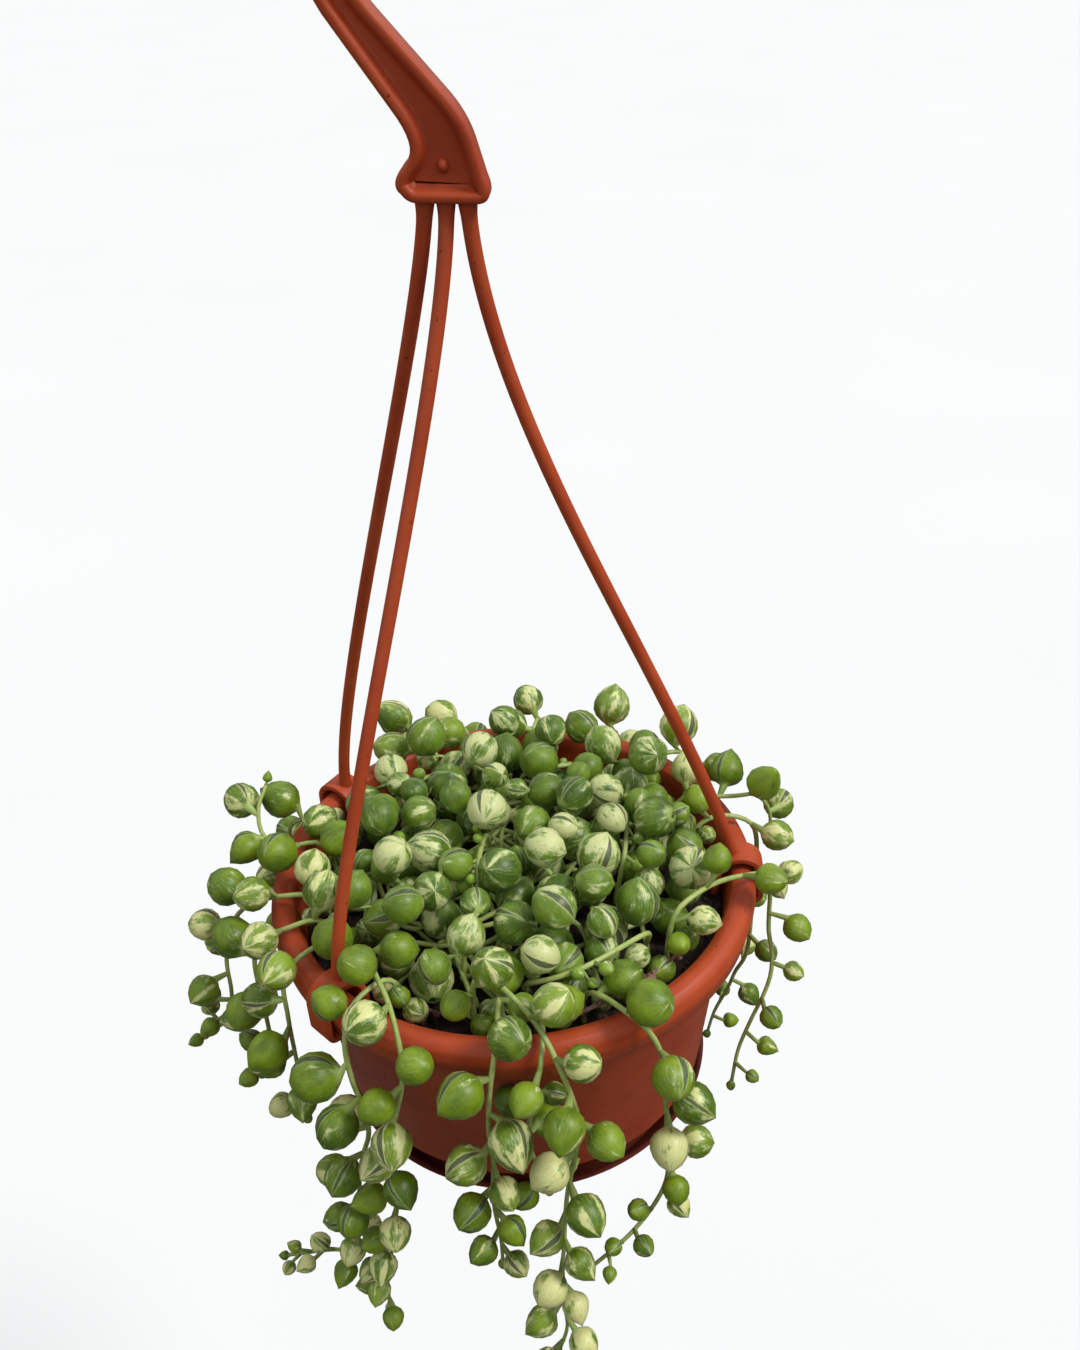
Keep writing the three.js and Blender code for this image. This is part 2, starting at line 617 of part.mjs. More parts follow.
// Pearls left and right along a stem, each turned or made smaller until it is clear
function growPearls(strand) {
  state = strand.seed;
  const line = stemLine(courseCurve(strand.course));
  const length = lengthOf(line);
  const pearls = [];
  let distance = FIRST_PEARL;
  let side = 1;
  while (distance < length - 1.5) {
    const share = (distance - FIRST_PEARL) / (length - FIRST_PEARL);
    const size = lerp(strand.big, strand.small, share * share) * (0.88 + 0.24 * random());
    const turn = side * lerp(NARROW_TURN, WIDE_TURN, random());
    const { point, along } = walk(line, distance);
    const pearl = fitPearl(strand, point, along, turn, size);
    if (pearl) {
      pearls.push(pearl);
      keep(pearl, strand.name);
    }
    distance += size * strand.pace;
    side = -side;
  }
  const { point, along } = walk(line, length);
  pearls.push({ from: point, centre: point.clone().addScaledVector(along, 1.6), radius: BUD_RADIUS });
  return pearls;
}

function fitPearl(strand, point, along, turn, size) {
  for (const shrink of [1, 0.85, 0.7]) {
    const radius = size * shrink;
    for (const swing of SWINGS) {
      const direction = pearlDirection(point, along, turn + swing);
      const offset = STEM_RADIUS + strand.stalk + radius;
      const centre = point.clone().addScaledVector(direction, offset);
      if (isClear(centre, radius, strand.name) && isStalkClear(point, centre, strand.name)) {
        return { from: point, centre, radius };
      }
    }
  }
  return null;
}

// The heap: each pearl drops to the lowest free place that a few tries find
function heapPearls() {
  state = 2027;
  const heap = [];
  for (let count = 0; count < MAT_PEARLS; count += 1) {
    const radius = lerp(MAT_SMALLEST, MAT_LARGEST, Math.sqrt(random()));
    let best = null;
    for (let attempt = 0; attempt < MAT_TRIES; attempt += 1) {
      const x = (2 * random() - 1) * MAT_RADIUS;
      const y = (2 * random() - 1) * MAT_RADIUS;
      const sway = [(2 * random() - 1) * MAT_SWAY, (2 * random() - 1) * MAT_SWAY];
      const reach = Math.sqrt(x * x + y * y);
      if (reach > MAT_RADIUS) continue;
      const { z, support } = restOn(heap, x, y, reach, radius);
      const score = z + DOME * reach * reach;
      if (best && score >= best.score) continue;
      const centre = new THREE.Vector3(x, y, z);
      const from = heapRoot(centre, radius, reach, sway, support);
      if (isClear(centre, radius, 'pearl_mat') && isStalkClear(from, centre, 'pearl_mat')) {
        best = { from, centre, radius, score };
      }
    }
    if (best) heap.push(best);
  }
  return heap;
}

// The height at which a pearl rests, and the heaped pearl that it rests on, if any
function restOn(heap, x, y, reach, radius) {
  let z = Math.max(coreHeight(reach) + 0.5 * radius, soilHeight(reach) + PEARL_GAP + radius + 0.01);
  let support = null;
  for (const pearl of heap) {
    const dx = pearl.centre.x - x;
    const dy = pearl.centre.y - y;
    const flat = dx * dx + dy * dy;
    const span = pearl.radius + radius + TOUCH;
    if (flat < span * span) {
      const height = pearl.centre.z + Math.sqrt(span * span - flat);
      if (height > z) {
        z = height;
        support = pearl;
      }
    }
  }
  return { z, support };
}

// Where a heaped pearl's stalk starts: in the core, or low in the pearl that bears it
function heapRoot(centre, radius, reach, sway, support) {
  if (support) {
    const share = (support.radius - 1) / (support.radius + radius);
    return support.centre.clone().lerp(centre, share);
  }
  const inwards = Math.min(1, (CORE_RADIUS - 4) / reach) * 0.94;
  const rootX = centre.x * inwards + sway[0];
  const rootY = centre.y * inwards + sway[1];
  const rootReach = Math.min(Math.sqrt(rootX * rootX + rootY * rootY), CORE_RADIUS - 2);
  return new THREE.Vector3(rootX, rootY, coreHeight(rootReach) - 0.8);
}

// Stems that run over the first layer of the heap and dip into its core at both ends, as
// [x, y, height] points
const runners = [
  [[2, -37, -7], [1, -43.5, 3], [7, -46.5, 7.5], [14, -45, 8.6], [22, -40, 8.2], [29, -34, 6],
    [29, -27, -6.5]],
  [[-5, 6, -2], [-6, 1, 8.5], [-8, -10, 10], [-9, -20, 9], [-12, -28, 5], [-13, -32, -6.5]],
  [[2, 29, -6], [5, 30, 4], [12, 28, 7], [19, 30, 5.5], [25, 31, 1], [22, 27, -7]],
  [[31, 17, -7], [37, 11, 2], [37, 0, 4.5], [35, -8, 3], [31, -13, -6.5]],
  [[-31, 14, -6], [-31, 18, 3], [-27, 25, 5], [-22, 30, 5], [-18, 34, 2], [-15, 32, -7]],
  [[28, 17, -5], [30, 12, 5], [29, 3, 7], [27, -8, 6.5], [24, -13, -4]],
  [[-31, -8, -6], [-33, -3, 3.5], [-29, 4, 6.5], [-24, 9, 6.5], [-20, 12, -4]],
];

function runnerCurve(runner) {
  return new THREE.CatmullRomCurve3(runner.map((point) => new THREE.Vector3(...point)));
}

// A pearl: an icosahedron with one corner drawn out to its stem, as the stalk, and the
// opposite one drawn out a little, as the tip
function pearlSolid({ from, centre, radius }) {
  const direction = centre.clone().sub(from).normalize();
  const corner = new THREE.Vector3(-1, (1 + Math.sqrt(5)) / 2, 0).normalize();
  const swollen = PEARL_SWELL * radius;
  const geometry = new THREE.IcosahedronGeometry(swollen, 0);
  geometry.applyQuaternion(new THREE.Quaternion().setFromUnitVectors(corner, direction));
  geometry.translate(centre.x, centre.y, centre.z);
  const positions = geometry.attributes.position;
  const top = centre.clone().addScaledVector(direction, swollen);
  const bottom = centre.clone().addScaledVector(direction, -swollen);
  const tip = centre.clone().addScaledVector(direction, TIP_REACH * radius);
  const root = from.clone().addScaledVector(direction, -ROOT_DEPTH);
  for (let i = 0; i < positions.count; i += 1) {
    const vertex = new THREE.Vector3().fromBufferAttribute(positions, i);
    if (vertex.distanceTo(top) < 0.01) positions.setXYZ(i, ...tip);
    if (vertex.distanceTo(bottom) < 0.01) positions.setXYZ(i, ...root);
  }
  return solidOf(geometry);
}

function strandMesh(strand, pearls) {
  const curve = courseCurve(strand.course);
  let body = sweep(curve, STEM_RADIUS, STEM_SIDES, stemSteps(curve));
  for (const pearl of pearls) {
    body = body.add(pearlSolid(pearl));
  }
  return meshOf(strand.name, body, STRAND_GREEN, waxy);
}

function matMesh(heap) {
  const core = [
    [0, soilHeight(0) + GAP],
    [CORE_RADIUS / 2, soilHeight(CORE_RADIUS / 2) + GAP],
    [CORE_RADIUS, soilHeight(CORE_RADIUS) + GAP],
    [CORE_RADIUS, coreHeight(CORE_RADIUS)],
    [CORE_RADIUS * 0.8, coreHeight(CORE_RADIUS * 0.8)],
    [CORE_RADIUS * 0.5, coreHeight(CORE_RADIUS * 0.5)],
    [0, coreHeight(0)],
  ];
  let body = turned(core, CORE_STEPS);
  for (const pearl of heap) {
    body = body.add(pearlSolid(pearl));
  }
  for (const runner of runners) {
    const curve = runnerCurve(runner);
    body = body.add(sweep(curve, STEM_RADIUS, STEM_SIDES, stemSteps(curve)));
  }
  return meshOf('pearl_mat', body, MAT_GREEN, waxy);
}

// Soil, with a plain hole where each trailing stem stands
function soil() {
  const bottomRadius = WALL_FOOT_RADIUS - WALL - 0.2 - GAP;
  const edgeShare = (SOIL_EDGE_Z + 3.6) / (floorTop + 3.6);
  const edgeRadius = lerp(WALL_TOP_RADIUS - WALL, WALL_FOOT_RADIUS - WALL - 0.2, edgeShare) - GAP;
  const profile = [
    [0, floorTop + GAP],
    [bottomRadius, floorTop + GAP],
    [edgeRadius, SOIL_EDGE_Z],
    [40, soilHeight(40)],
    [24, soilHeight(24)],
    [0, SOIL_CROWN_Z],
  ];
  let body = turned(profile, ROUND_STEPS);
  for (const { course } of strands) {
    const root = at(...course[0]);
    const drill = new THREE.CylinderGeometry(SOIL_HOLE_RADIUS, SOIL_HOLE_RADIUS, 8, 4);
    drill.rotateX(Math.PI / 2).translate(root.x, root.y, root.z + 4 - GAP);
    body = body.subtract(solidOf(drill));
  }
  return meshOf('soil', body, SOIL_BROWN, { roughness: 1, metalness: 0 });
}

// Assembly: what a pearl keeps clear of comes first, then the leafy stems, then the heap
for (const arm of arms) {
  addRods(armCurve(arm).getPoints(20), ARM_RADIUS, 'hanger');
  const line = clipLine().map(({ x, y }) => at(arm.azimuth, x, y));
  const across = at(arm.azimuth + 90, CLIP_WIDTH / 2, 0);
  for (const point of line) {
    rods.push({
      from: point.clone().sub(across),
      to: point.clone().add(across),
      radius: CLIP_WALL / 2,
      owner: 'hanger',
    });
  }
}
for (const strand of strands) {
  addRods(stemLine(courseCurve(strand.course)), STEM_RADIUS, strand.name);
}
for (const runner of runners) {
  addRods(stemLine(runnerCurve(runner)), STEM_RADIUS, 'pearl_mat');
}

const hangingPot = new THREE.Group();
hangingPot.position.z = -SEAT_Z;
hangingPot.add(pot(), saucer(), soil(), hanger());
for (const strand of strands) {
  hangingPot.add(strandMesh(strand, growPearls(strand)));
}
hangingPot.add(matMesh(heapPearls()));
hangingPot.updateMatrixWorld(true);

export default hangingPot;
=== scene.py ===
# %% [markdown]
# # A variegated string of pearls in a small hanging pot
# The plant is a succulent whose leaves are small green balls with cream stripes. They sit
# in a heap on the soil of a clay-coloured plastic pot, and leafy stems trail over its rim.
# A hook with three thin arms, moulded in one piece, carries the pot.
#
# The CAD model is loaded first. It fixes every size and place, so each piece below is
# built straight where it belongs, in metres, with the hook's seat at the origin.

# %% Load the CAD model
import math

import bpy
import numpy as np
from mathutils import Matrix, Vector


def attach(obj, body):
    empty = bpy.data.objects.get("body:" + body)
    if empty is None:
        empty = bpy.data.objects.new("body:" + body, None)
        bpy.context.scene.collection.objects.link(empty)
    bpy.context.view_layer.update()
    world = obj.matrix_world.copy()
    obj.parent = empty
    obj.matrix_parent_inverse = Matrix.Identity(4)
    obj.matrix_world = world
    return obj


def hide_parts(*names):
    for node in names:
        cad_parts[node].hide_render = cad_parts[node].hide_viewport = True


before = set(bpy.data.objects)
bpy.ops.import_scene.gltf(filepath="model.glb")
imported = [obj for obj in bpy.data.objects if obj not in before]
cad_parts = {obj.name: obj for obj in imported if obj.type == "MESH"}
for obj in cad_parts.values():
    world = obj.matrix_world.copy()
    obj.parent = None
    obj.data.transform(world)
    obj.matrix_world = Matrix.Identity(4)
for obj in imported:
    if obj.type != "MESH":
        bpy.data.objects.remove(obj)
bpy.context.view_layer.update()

print("CAD nodes:", len(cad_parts))

# %% [markdown]
# The pot was drawn in millimetres with the top of its rim at height 0. The hook's seat is
# 223.4 mm above that, so one small function takes a place on the drawing to its place here.

# %% From the drawing's millimetres to the model's metres
MM = 0.001
SEAT_HEIGHT = 223.4


def placed(point):
    return Vector((point[0] * MM, point[1] * MM, (point[2] - SEAT_HEIGHT) * MM))


def at(azimuth, radius, height):
    angle = math.radians(azimuth)
    return np.array([radius * math.cos(angle), radius * math.sin(angle), height])


def added(operator, name, **settings):
    """Adds an object with an operator, as the only selected one, and names it."""
    bpy.ops.object.select_all(action="DESELECT")
    operator(**settings)
    bpy.context.object.name = name
    return bpy.context.object


print("rim's top at", placed((0, 0, 0)))

# %% [markdown]
# ## Camera and floor
# The photographer stood close and looked down on the plant. The camera's place and turn
# come from the ellipses of the rim and the saucer, whose real sizes are known: an ellipse
# that flattens with height gives the distance, and its tilt gives the camera's roll.

# %% Camera
VIEW_RIGHT = Vector((0.99660, -0.06865, -0.04549))
VIEW_UP = Vector((0.07583, 0.54942, 0.83210))
VIEW_AHEAD = Vector((0.03213, 0.83272, -0.55276))
CAMERA_PLACE = (0, -243.49, 216.65)
SENSOR = 36
FOCAL_SHARE = 1300 / 1350

camera = added(bpy.ops.object.camera_add, "Camera")
turn = Matrix((VIEW_RIGHT, VIEW_UP, -VIEW_AHEAD)).transposed()
camera.matrix_world = Matrix.Translation(placed(CAMERA_PLACE)) @ turn.to_4x4()
camera.data.sensor_width = SENSOR
camera.data.lens = SENSOR * FOCAL_SHARE
camera.data.clip_start = 0.01
bpy.context.scene.camera = camera
print("lens", round(camera.data.lens, 2), "mm")

# %% [markdown]
# The pot hangs, so the floor lies well below it, plain, pale and wide. A bright floor
# would light the pot from below and wash out its dark wall, so bounced rays don't see it.

# %% Floor
FLOOR_HEIGHT, FLOOR_SIZE = -0.75, 80

floor = added(bpy.ops.mesh.primitive_plane_add, "floor", size=FLOOR_SIZE,
              location=(0, 0, FLOOR_HEIGHT))
floor.visible_diffuse = False
floor.visible_glossy = False
print("floor at", FLOOR_HEIGHT, "m")

# %% [markdown]
# ## Materials
# A material is a small network of nodes. Writing one by hand takes many lines, so a helper
# adds a node and joins up its sockets: a value that is another node's output is linked,
# and any other value is set. Sums with an output add the Math nodes by themselves.

# %% A helper for material networks
class Value:
    """A node's output. Adding to it or multiplying it adds a Math node to its network."""

    def __init__(self, net, socket):
        self.net, self.socket = net, socket

    def __add__(self, other):
        return self.net.math("ADD", self, other)

    def __sub__(self, other):
        return self.net.math("SUBTRACT", self, other)

    def __mul__(self, other):
        return self.net.math("MULTIPLY", self, other)


class Network:
    def __init__(self, owner):
        owner.use_nodes = True
        self.owner, self.tree = owner, owner.node_tree

    def add(self, kind, sockets=None, out=0, **settings):
        node = self.tree.nodes.new("ShaderNode" + kind)
        for name, value in settings.items():
            setattr(node, name, value)
        for socket, value in (sockets or {}).items():
            self.join(node.inputs[socket], value)
        return Value(self, node.outputs[out])

    def join(self, socket, value):
        if isinstance(value, Value):
            self.tree.links.new(value.socket, socket)
        elif value is not None:
            socket.default_value = (*value, 1) if socket.type == "RGBA" else value

    def split(self, kind, value):
        node = self.add(kind, {0: value}).socket.node
        return [Value(self, socket) for socket in node.outputs[:3]]

    def math(self, operation, first, second=0.0, clamp=False):
        return self.add("Math", {0: first, 1: second}, operation=operation, use_clamp=clamp)

    def noise(self, vector, scale, detail=2.0, rough=0.5):
        sockets = {"Vector": vector, "Scale": scale, "Detail": detail, "Roughness": rough}
        return self.add("TexNoise", sockets, "Fac")

    def steps(self, value, stops):
        tone = self.add("ValToRGB", {"Fac": value})
        band = tone.socket.node.color_ramp
        while len(band.elements) < len(stops):
            band.elements.new(0.5)
        for element, (place, colour) in zip(band.elements, stops):
            element.position = place
            element.color = (*colour, 1)
        return tone

    def share(self, value, low, high):
        return self.add("MapRange", {"Value": value, "From Min": low, "From Max": high})

    def blend(self, share, first, second):
        return self.add("Mix", {0: share, 6: first, 7: second}, 2, data_type="RGBA")

    def vector(self, x, y, z):
        return self.add("CombineXYZ", {0: x, 1: y, 2: z})

    def bump(self, height, strength, distance, below=None):
        return self.add("Bump", {"Height": height, "Strength": strength,
                                 "Distance": distance, "Normal": below})

    def finish(self, shader="Principled BSDF", **sockets):
        for name, value in sockets.items():
            self.join(self.tree.nodes[shader].inputs[name.replace("_", " ")], value)
        return self.owner


def new_material(name):
    return Network(bpy.data.materials.new(name))


print("the network helper is ready")

# %% [markdown]
# ### Daylight
# The sky is such a network too. It gives soft daylight: its upper half is pale, and its
# lower half is dim, as if the pot hung over grass. What the camera itself sees past the
# floor's edge is as pale as the floor. A wide sun stands in front on the right, where the
# rim and the wall are brightest in the photograph, while the wall's left side stays dark.

# %% Light
SKY_STRENGTH, SUN_STRENGTH, SUN_WIDTH = 0.82, 2.2, 20
SKY_BELOW, SKY_ABOVE, SKY_SEEN = (0.13, 0.13, 0.12), (0.95, 0.98, 1.0), (1.15, 1.16, 1.16)
SKY_RISE = 0.22
SUN_FROM = Vector((0.58, -0.22, 0.78))

world = bpy.context.scene.world or bpy.data.worlds.new("daylight")
bpy.context.scene.world = world
sky = Network(world)
height = sky.split("SeparateXYZ", sky.add("TexCoord", out="Generated"))[2]
shade = sky.steps(height, [(0, SKY_BELOW), (SKY_RISE, SKY_ABOVE)])
tone = sky.blend(sky.add("LightPath", out="Is Camera Ray"), shade, SKY_SEEN)
sky.finish("Background", Color=tone, Strength=SKY_STRENGTH)

sun = added(bpy.ops.object.light_add, "Sun", type="SUN", location=(0.5, 0, 1))
sun.data.energy = SUN_STRENGTH
sun.data.angle = math.radians(SUN_WIDTH)
sun.rotation_euler = SUN_FROM.to_track_quat("Z", "Y").to_euler()
bpy.context.scene.view_settings.view_transform = "Standard"
print("sky", SKY_STRENGTH, "sun", SUN_STRENGTH)

# %% [markdown]
# ### Moulded plastic
# The pot, its hanger and its saucer are coloured right through, so the colour is even. What
# makes plastic look real is small: soft clouds of lighter and darker tone, dark specks and
# dust, a satin sheen that varies, and a skin that isn't quite smooth.

# %% Plastic materials
def plastic(name, deep, light, dusty, roughness):
    net = new_material(name)
    where = net.add("TexCoord", out="Object")
    tone = net.steps(net.noise(where, 45, 3, 0.55), [(0.3, deep), (0.7, light)])
    dust = net.share(net.noise(where, 120, 5, 0.7), 0.56, 0.78)
    tone = net.blend(dust * 0.16, tone, dusty)
    specks = net.share(net.noise(where, 900, 1), 0.735, 0.76)
    tone = net.blend(specks * 0.7, tone, tuple(c * 0.25 for c in deep))
    sheen = net.share(net.noise(where, 70, 4, 0.6), 0.3, 0.7)
    waves = net.bump(net.noise(where, 60, 2), 0.25, 0.0006)
    grain = net.bump(net.noise(where, 1500, 2), 0.12, 0.0001, waves)
    return net.finish(Base_Color=tone, Roughness=sheen * 0.16 + roughness, Normal=grain,
                      Specular_IOR_Level=0.28)


clay_plastic = plastic("clay_plastic", (0.360, 0.046, 0.013), (0.460, 0.072, 0.021),
                       (0.48, 0.16, 0.08), 0.36)
maroon_plastic = plastic("maroon_plastic", (0.085, 0.013, 0.008), (0.125, 0.021, 0.011),
                         (0.17, 0.09, 0.07), 0.34)
print(clay_plastic.name, maroon_plastic.name)

# %% [markdown]
# ### Waxy leaves
# Each leaf carries two attributes that its modelling code writes. `leaf` is a point's place
# on a leaf of radius 1 whose tip is at +Z, so that the pattern follows the leaf however it
# is turned. `kind` holds four numbers of the leaf: a seed, how much cream it has, where its
# window is, and its age. The cream lies in sectors that run from pole to pole, which a
# noise gives when it is read round the axis and barely along it. Two finer noises of the
# same kind fray the sectors' edges and draw thin streaks on the green. Most leaves also
# show a window: a dark stripe, where the skin is clear and lets light in, between two pale
# bands.

# %% Leaf material
CREAM = (0.57, 0.60, 0.27)
WARM_CREAM = (0.64, 0.64, 0.27)
PALE_GREEN = (0.25, 0.34, 0.105)
WINDOW = (0.040, 0.056, 0.022)
WINDOW_LINE = (0.110, 0.135, 0.065)
STEM_GREEN = (0.33, 0.43, 0.12)


def shifted(value, amount):
    return (value - 0.5) * amount


def leaf_material(name, deep, fresh, no_window, cream=CREAM):
    net = new_material(name)
    spot = net.add("Attribute", out="Vector", attribute_name="leaf")
    kind = net.add("Attribute", out="Color", attribute_name="kind")
    age = net.add("Attribute", out="Alpha", attribute_name="kind")
    seed, cream_share, window_turn = net.split("SeparateColor", kind)
    x, y, z = net.split("SeparateXYZ", spot)
    girth = net.math("MAXIMUM", net.math("SQRT", x * x + y * y), 0.08)
    round_x, round_y = net.math("DIVIDE", x, girth), net.math("DIVIDE", y, girth)
    drift = seed * 60.0

    def meridians(turns, along, offset):
        return net.vector(round_x * turns, round_y * turns, z * along + (drift + offset))

    # clouds and blots all over, and patterns that run from pole to pole
    own_spot = net.add("VectorMath", {0: spot, 1: net.vector(drift, drift, drift)})
    clouds = net.noise(own_spot, 0.9, 3, 0.55)
    blots = net.noise(own_spot, 2.1, 4, 0.62)
    grain = net.noise(own_spot, 8, 4, 0.75)
    sectors = net.noise(meridians(0.95, 0.52, 0.0), 1.5, 2, 0.5)
    feather = net.noise(meridians(3.6, 1.1, 3.0), 1.7, 5, 0.68)
    hair = net.noise(meridians(10.0, 1.6, 7.0), 1.6, 3, 0.7)

    # greens, then streaks, pale edges and cream where the field is high, then dark veins
    greens = clouds + (shifted(age, 0.36) + shifted(grain, 0.34))
    tone = net.steps(greens, [(0.28, deep), (0.72, fresh)])
    frayed = shifted(feather, 0.32) + (shifted(hair, 0.16) + shifted(grain, 0.20))
    field = sectors + shifted(blots, 0.36) + frayed + shifted(cream_share, 0.44)
    streaks = net.share(hair, 0.50, 0.64) * net.share(field, 0.28, 0.52)
    tone = net.blend(streaks * 0.62, tone, PALE_GREEN)
    tone = net.blend(net.share(field, 0.530, 0.590) * 0.85, tone, PALE_GREEN)
    tone = net.blend(net.share(field, 0.595, 0.665), tone, cream)
    tone = net.blend(net.share(hair, 0.47, 0.36) * 0.45, tone, net.blend(0.6, tone, deep))

    # the window: a stripe from pole to pole on one side, between two pale bands
    turn = window_turn * (2 * math.pi)
    cosine, sine = net.math("COSINE", turn), net.math("SINE", turn)
    facing = x * cosine + y * sine
    across = net.math("ABSOLUTE", y * cosine - x * sine)
    taper = net.math("SUBTRACT", 1.0, z * z) * (age * 0.09 + 0.10)
    edge = taper - across + shifted(feather, 0.11)
    shown = net.share(facing, 0.0, 0.12) * net.share(seed, no_window, no_window + 0.02)
    halo = net.math("MULTIPLY", edge + feather * 0.17, 16.0, clamp=True) * shown
    stripe = net.math("MULTIPLY", edge, 30.0, clamp=True) * shown
    halo_tone = net.blend(net.share(cream_share, 0.25, 0.8), PALE_GREEN, cream)
    tone = net.blend(halo * 0.78, tone, halo_tone)
    window_tone = net.blend(net.share(hair, 0.48, 0.62), WINDOW, WINDOW_LINE)
    tone = net.blend(stripe * 0.9, tone, window_tone)

    # the stalk below and the tip above
    tone = net.blend(net.share(z, -0.86, -1.05), tone, STEM_GREEN)
    tone = net.blend(net.share(z, 1.05, 1.14), tone, cream)
    skin = net.bump(feather, 0.14, 0.0003, net.bump(grain, 0.16, 0.0002))
    return net.finish(Base_Color=tone, Roughness=clouds * 0.26 + 0.28, Normal=skin,
                      Subsurface_Weight=0.15, Subsurface_Radius=(0.6, 1.0, 0.3),
                      Subsurface_Scale=0.0016, Specular_IOR_Level=0.40, Sheen_Weight=0.03,
                      Sheen_Roughness=0.4)


mat_leaf = leaf_material("mat_leaf", (0.048, 0.098, 0.004), (0.174, 0.272, 0.018), 0.22)
strand_leaf = leaf_material("strand_leaf", (0.066, 0.122, 0.003), (0.222, 0.322, 0.010), 0.50,
                            WARM_CREAM)
shoot_leaf = leaf_material("shoot_leaf", (0.160, 0.280, 0.018), (0.320, 0.450, 0.050), 0.9)
print(mat_leaf.name, strand_leaf.name, shoot_leaf.name)

# %% [markdown]
# ### Stems, soil, dry bits
# A stem is pale green and turns yellower here and there. Moist peat is nearly black, with
# brown fibres, and rough all over. The dry flower stalks are brown and dull, and the
# perlite grains are chalk white.

# %% Materials of the stems, the soil and the bits in it
def rough_material(name, tones, scale, roughness, bump, distance):
    net = new_material(name)
    where = net.add("TexCoord", out="Object")
    patches = net.noise(where, scale, 5, 0.65)
    stops = [(0.3 + 0.4 * i / (len(tones) - 1), tone) for i, tone in enumerate(tones)]
    rise = net.noise(where, scale * 3, 5, 0.7)
    return net.finish(Base_Color=net.steps(patches, stops), Roughness=roughness,
                      Normal=net.bump(rise, bump, distance))


stem_skin = rough_material("stem_skin", [(0.22, 0.30, 0.06), (0.34, 0.42, 0.11),
                                         (0.44, 0.47, 0.18)], 260, 0.42, 0.2, 0.0002)
peat = rough_material("peat", [(0.006, 0.004, 0.003), (0.020, 0.012, 0.008),
                               (0.06, 0.034, 0.02)], 420, 0.95, 0.9, 0.0008)
bark = rough_material("bark", [(0.018, 0.010, 0.007), (0.07, 0.036, 0.020),
                               (0.15, 0.085, 0.05)], 500, 0.85, 0.6, 0.0003)
dry_stalk = rough_material("dry_stalk", [(0.07, 0.030, 0.019), (0.17, 0.085, 0.055),
                                         (0.32, 0.19, 0.125)], 600, 0.8, 0.5, 0.0003)
perlite = rough_material("perlite", [(0.45, 0.43, 0.40), (0.72, 0.71, 0.68)], 700, 0.9, 0.5,
                         0.0002)
net = new_material("pale_floor")
tone = net.steps(net.noise(net.add("TexCoord", out="Object"), 2, 2),
                 [(0.3, (0.715, 0.715, 0.71)), (0.7, (0.73, 0.73, 0.725))])
floor.data.materials.append(net.finish(Base_Color=tone, Roughness=0.9))
print("materials:", len(bpy.data.materials))

# %% [markdown]
# ## Modelling helpers
# Most pieces start as a flat outline: a circle with as many corners as the outline has,
# whose corners are then moved to their places. A round piece turns its outline about the
# pot's axis with the spin operator, and a flat one is filled and extruded.

# %% Picking corners and faces
def alone(piece):
    bpy.ops.object.select_all(action="DESELECT")
    piece.select_set(True)
    bpy.context.view_layer.objects.active = piece


def leave_edit():
    bpy.ops.object.mode_set(mode="OBJECT")


def pick(piece, mode="VERT", wanted=None):
    """Opens the piece in edit mode with all corners selected, or the parts that are wanted."""
    alone(piece)
    bpy.ops.object.mode_set(mode="EDIT")
    bpy.ops.mesh.select_mode(type=mode)
    bpy.ops.mesh.select_all(action="DESELECT" if wanted else "SELECT")
    if wanted:
        leave_edit()
        for part in piece.data.vertices if mode == "VERT" else piece.data.polygons:
            part.select = wanted(part)
        bpy.ops.object.mode_set(mode="EDIT")


def close_seams(piece, gap=0.00001):
    """Merges the doubles of a spun or converted mesh and turns its faces outwards."""
    pick(piece)
    bpy.ops.mesh.remove_doubles(threshold=gap)
    bpy.ops.mesh.delete_loose(use_verts=True, use_edges=True, use_faces=False)
    bpy.ops.mesh.select_all(action="SELECT")
    bpy.ops.mesh.normals_make_consistent(inside=False)
    leave_edit()


def outline(name, points):
    """A ring of edges through points that are given in the drawing's millimetres."""
    piece = added(bpy.ops.mesh.primitive_circle_add, name, vertices=len(points),
                  fill_type="NOTHING")
    for corner, point in zip(piece.data.vertices, points):
        corner.co = placed(point)
    return piece


def use_modifier(piece, kind, **settings):
    alone(piece)
    modifier = piece.modifiers.new(kind.lower(), kind)
    for name, value in settings.items():
        setattr(modifier, name, value)
    bpy.ops.object.modifier_apply(modifier=modifier.name)


def soften(piece, width, segments, angle):
    use_modifier(piece, "BEVEL", width=width * MM, segments=segments, limit_method="ANGLE",
                 angle_limit=math.radians(angle))


def cut_out(piece, cutter, solver="EXACT"):
    use_modifier(piece, "BOOLEAN", object=cutter, operation="DIFFERENCE", solver=solver)
    bpy.data.objects.remove(cutter)


def smooth(piece, angle=None):
    """Smooth shading, where an angle in degrees is given with sharper edges kept."""
    alone(piece)
    if angle is None:
        bpy.ops.object.shade_smooth()
    else:
        bpy.ops.object.shade_smooth_by_angle(angle=math.radians(angle))


def dress(piece, material, slot, *nodes):
    """The last step of every piece: its material, its body and the CAD nodes it stands for."""
    if not piece.data.materials:
        piece.data.materials.append(material)
    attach(piece, "root")
    for node in nodes:
        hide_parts(node)
    print(piece.name, "-", len(piece.data.polygons), "faces")


print("modelling helpers are ready")

# %% [markdown]
# ## Pot
# A hanging pot like this is injection-moulded: a thin tapered wall, a rim that is rolled
# over into a free skirt, and a foot ring with a bead for the saucer. All of it is round, so
# one closed profile is turned about the axis. A bevel then softens the mould's edges.

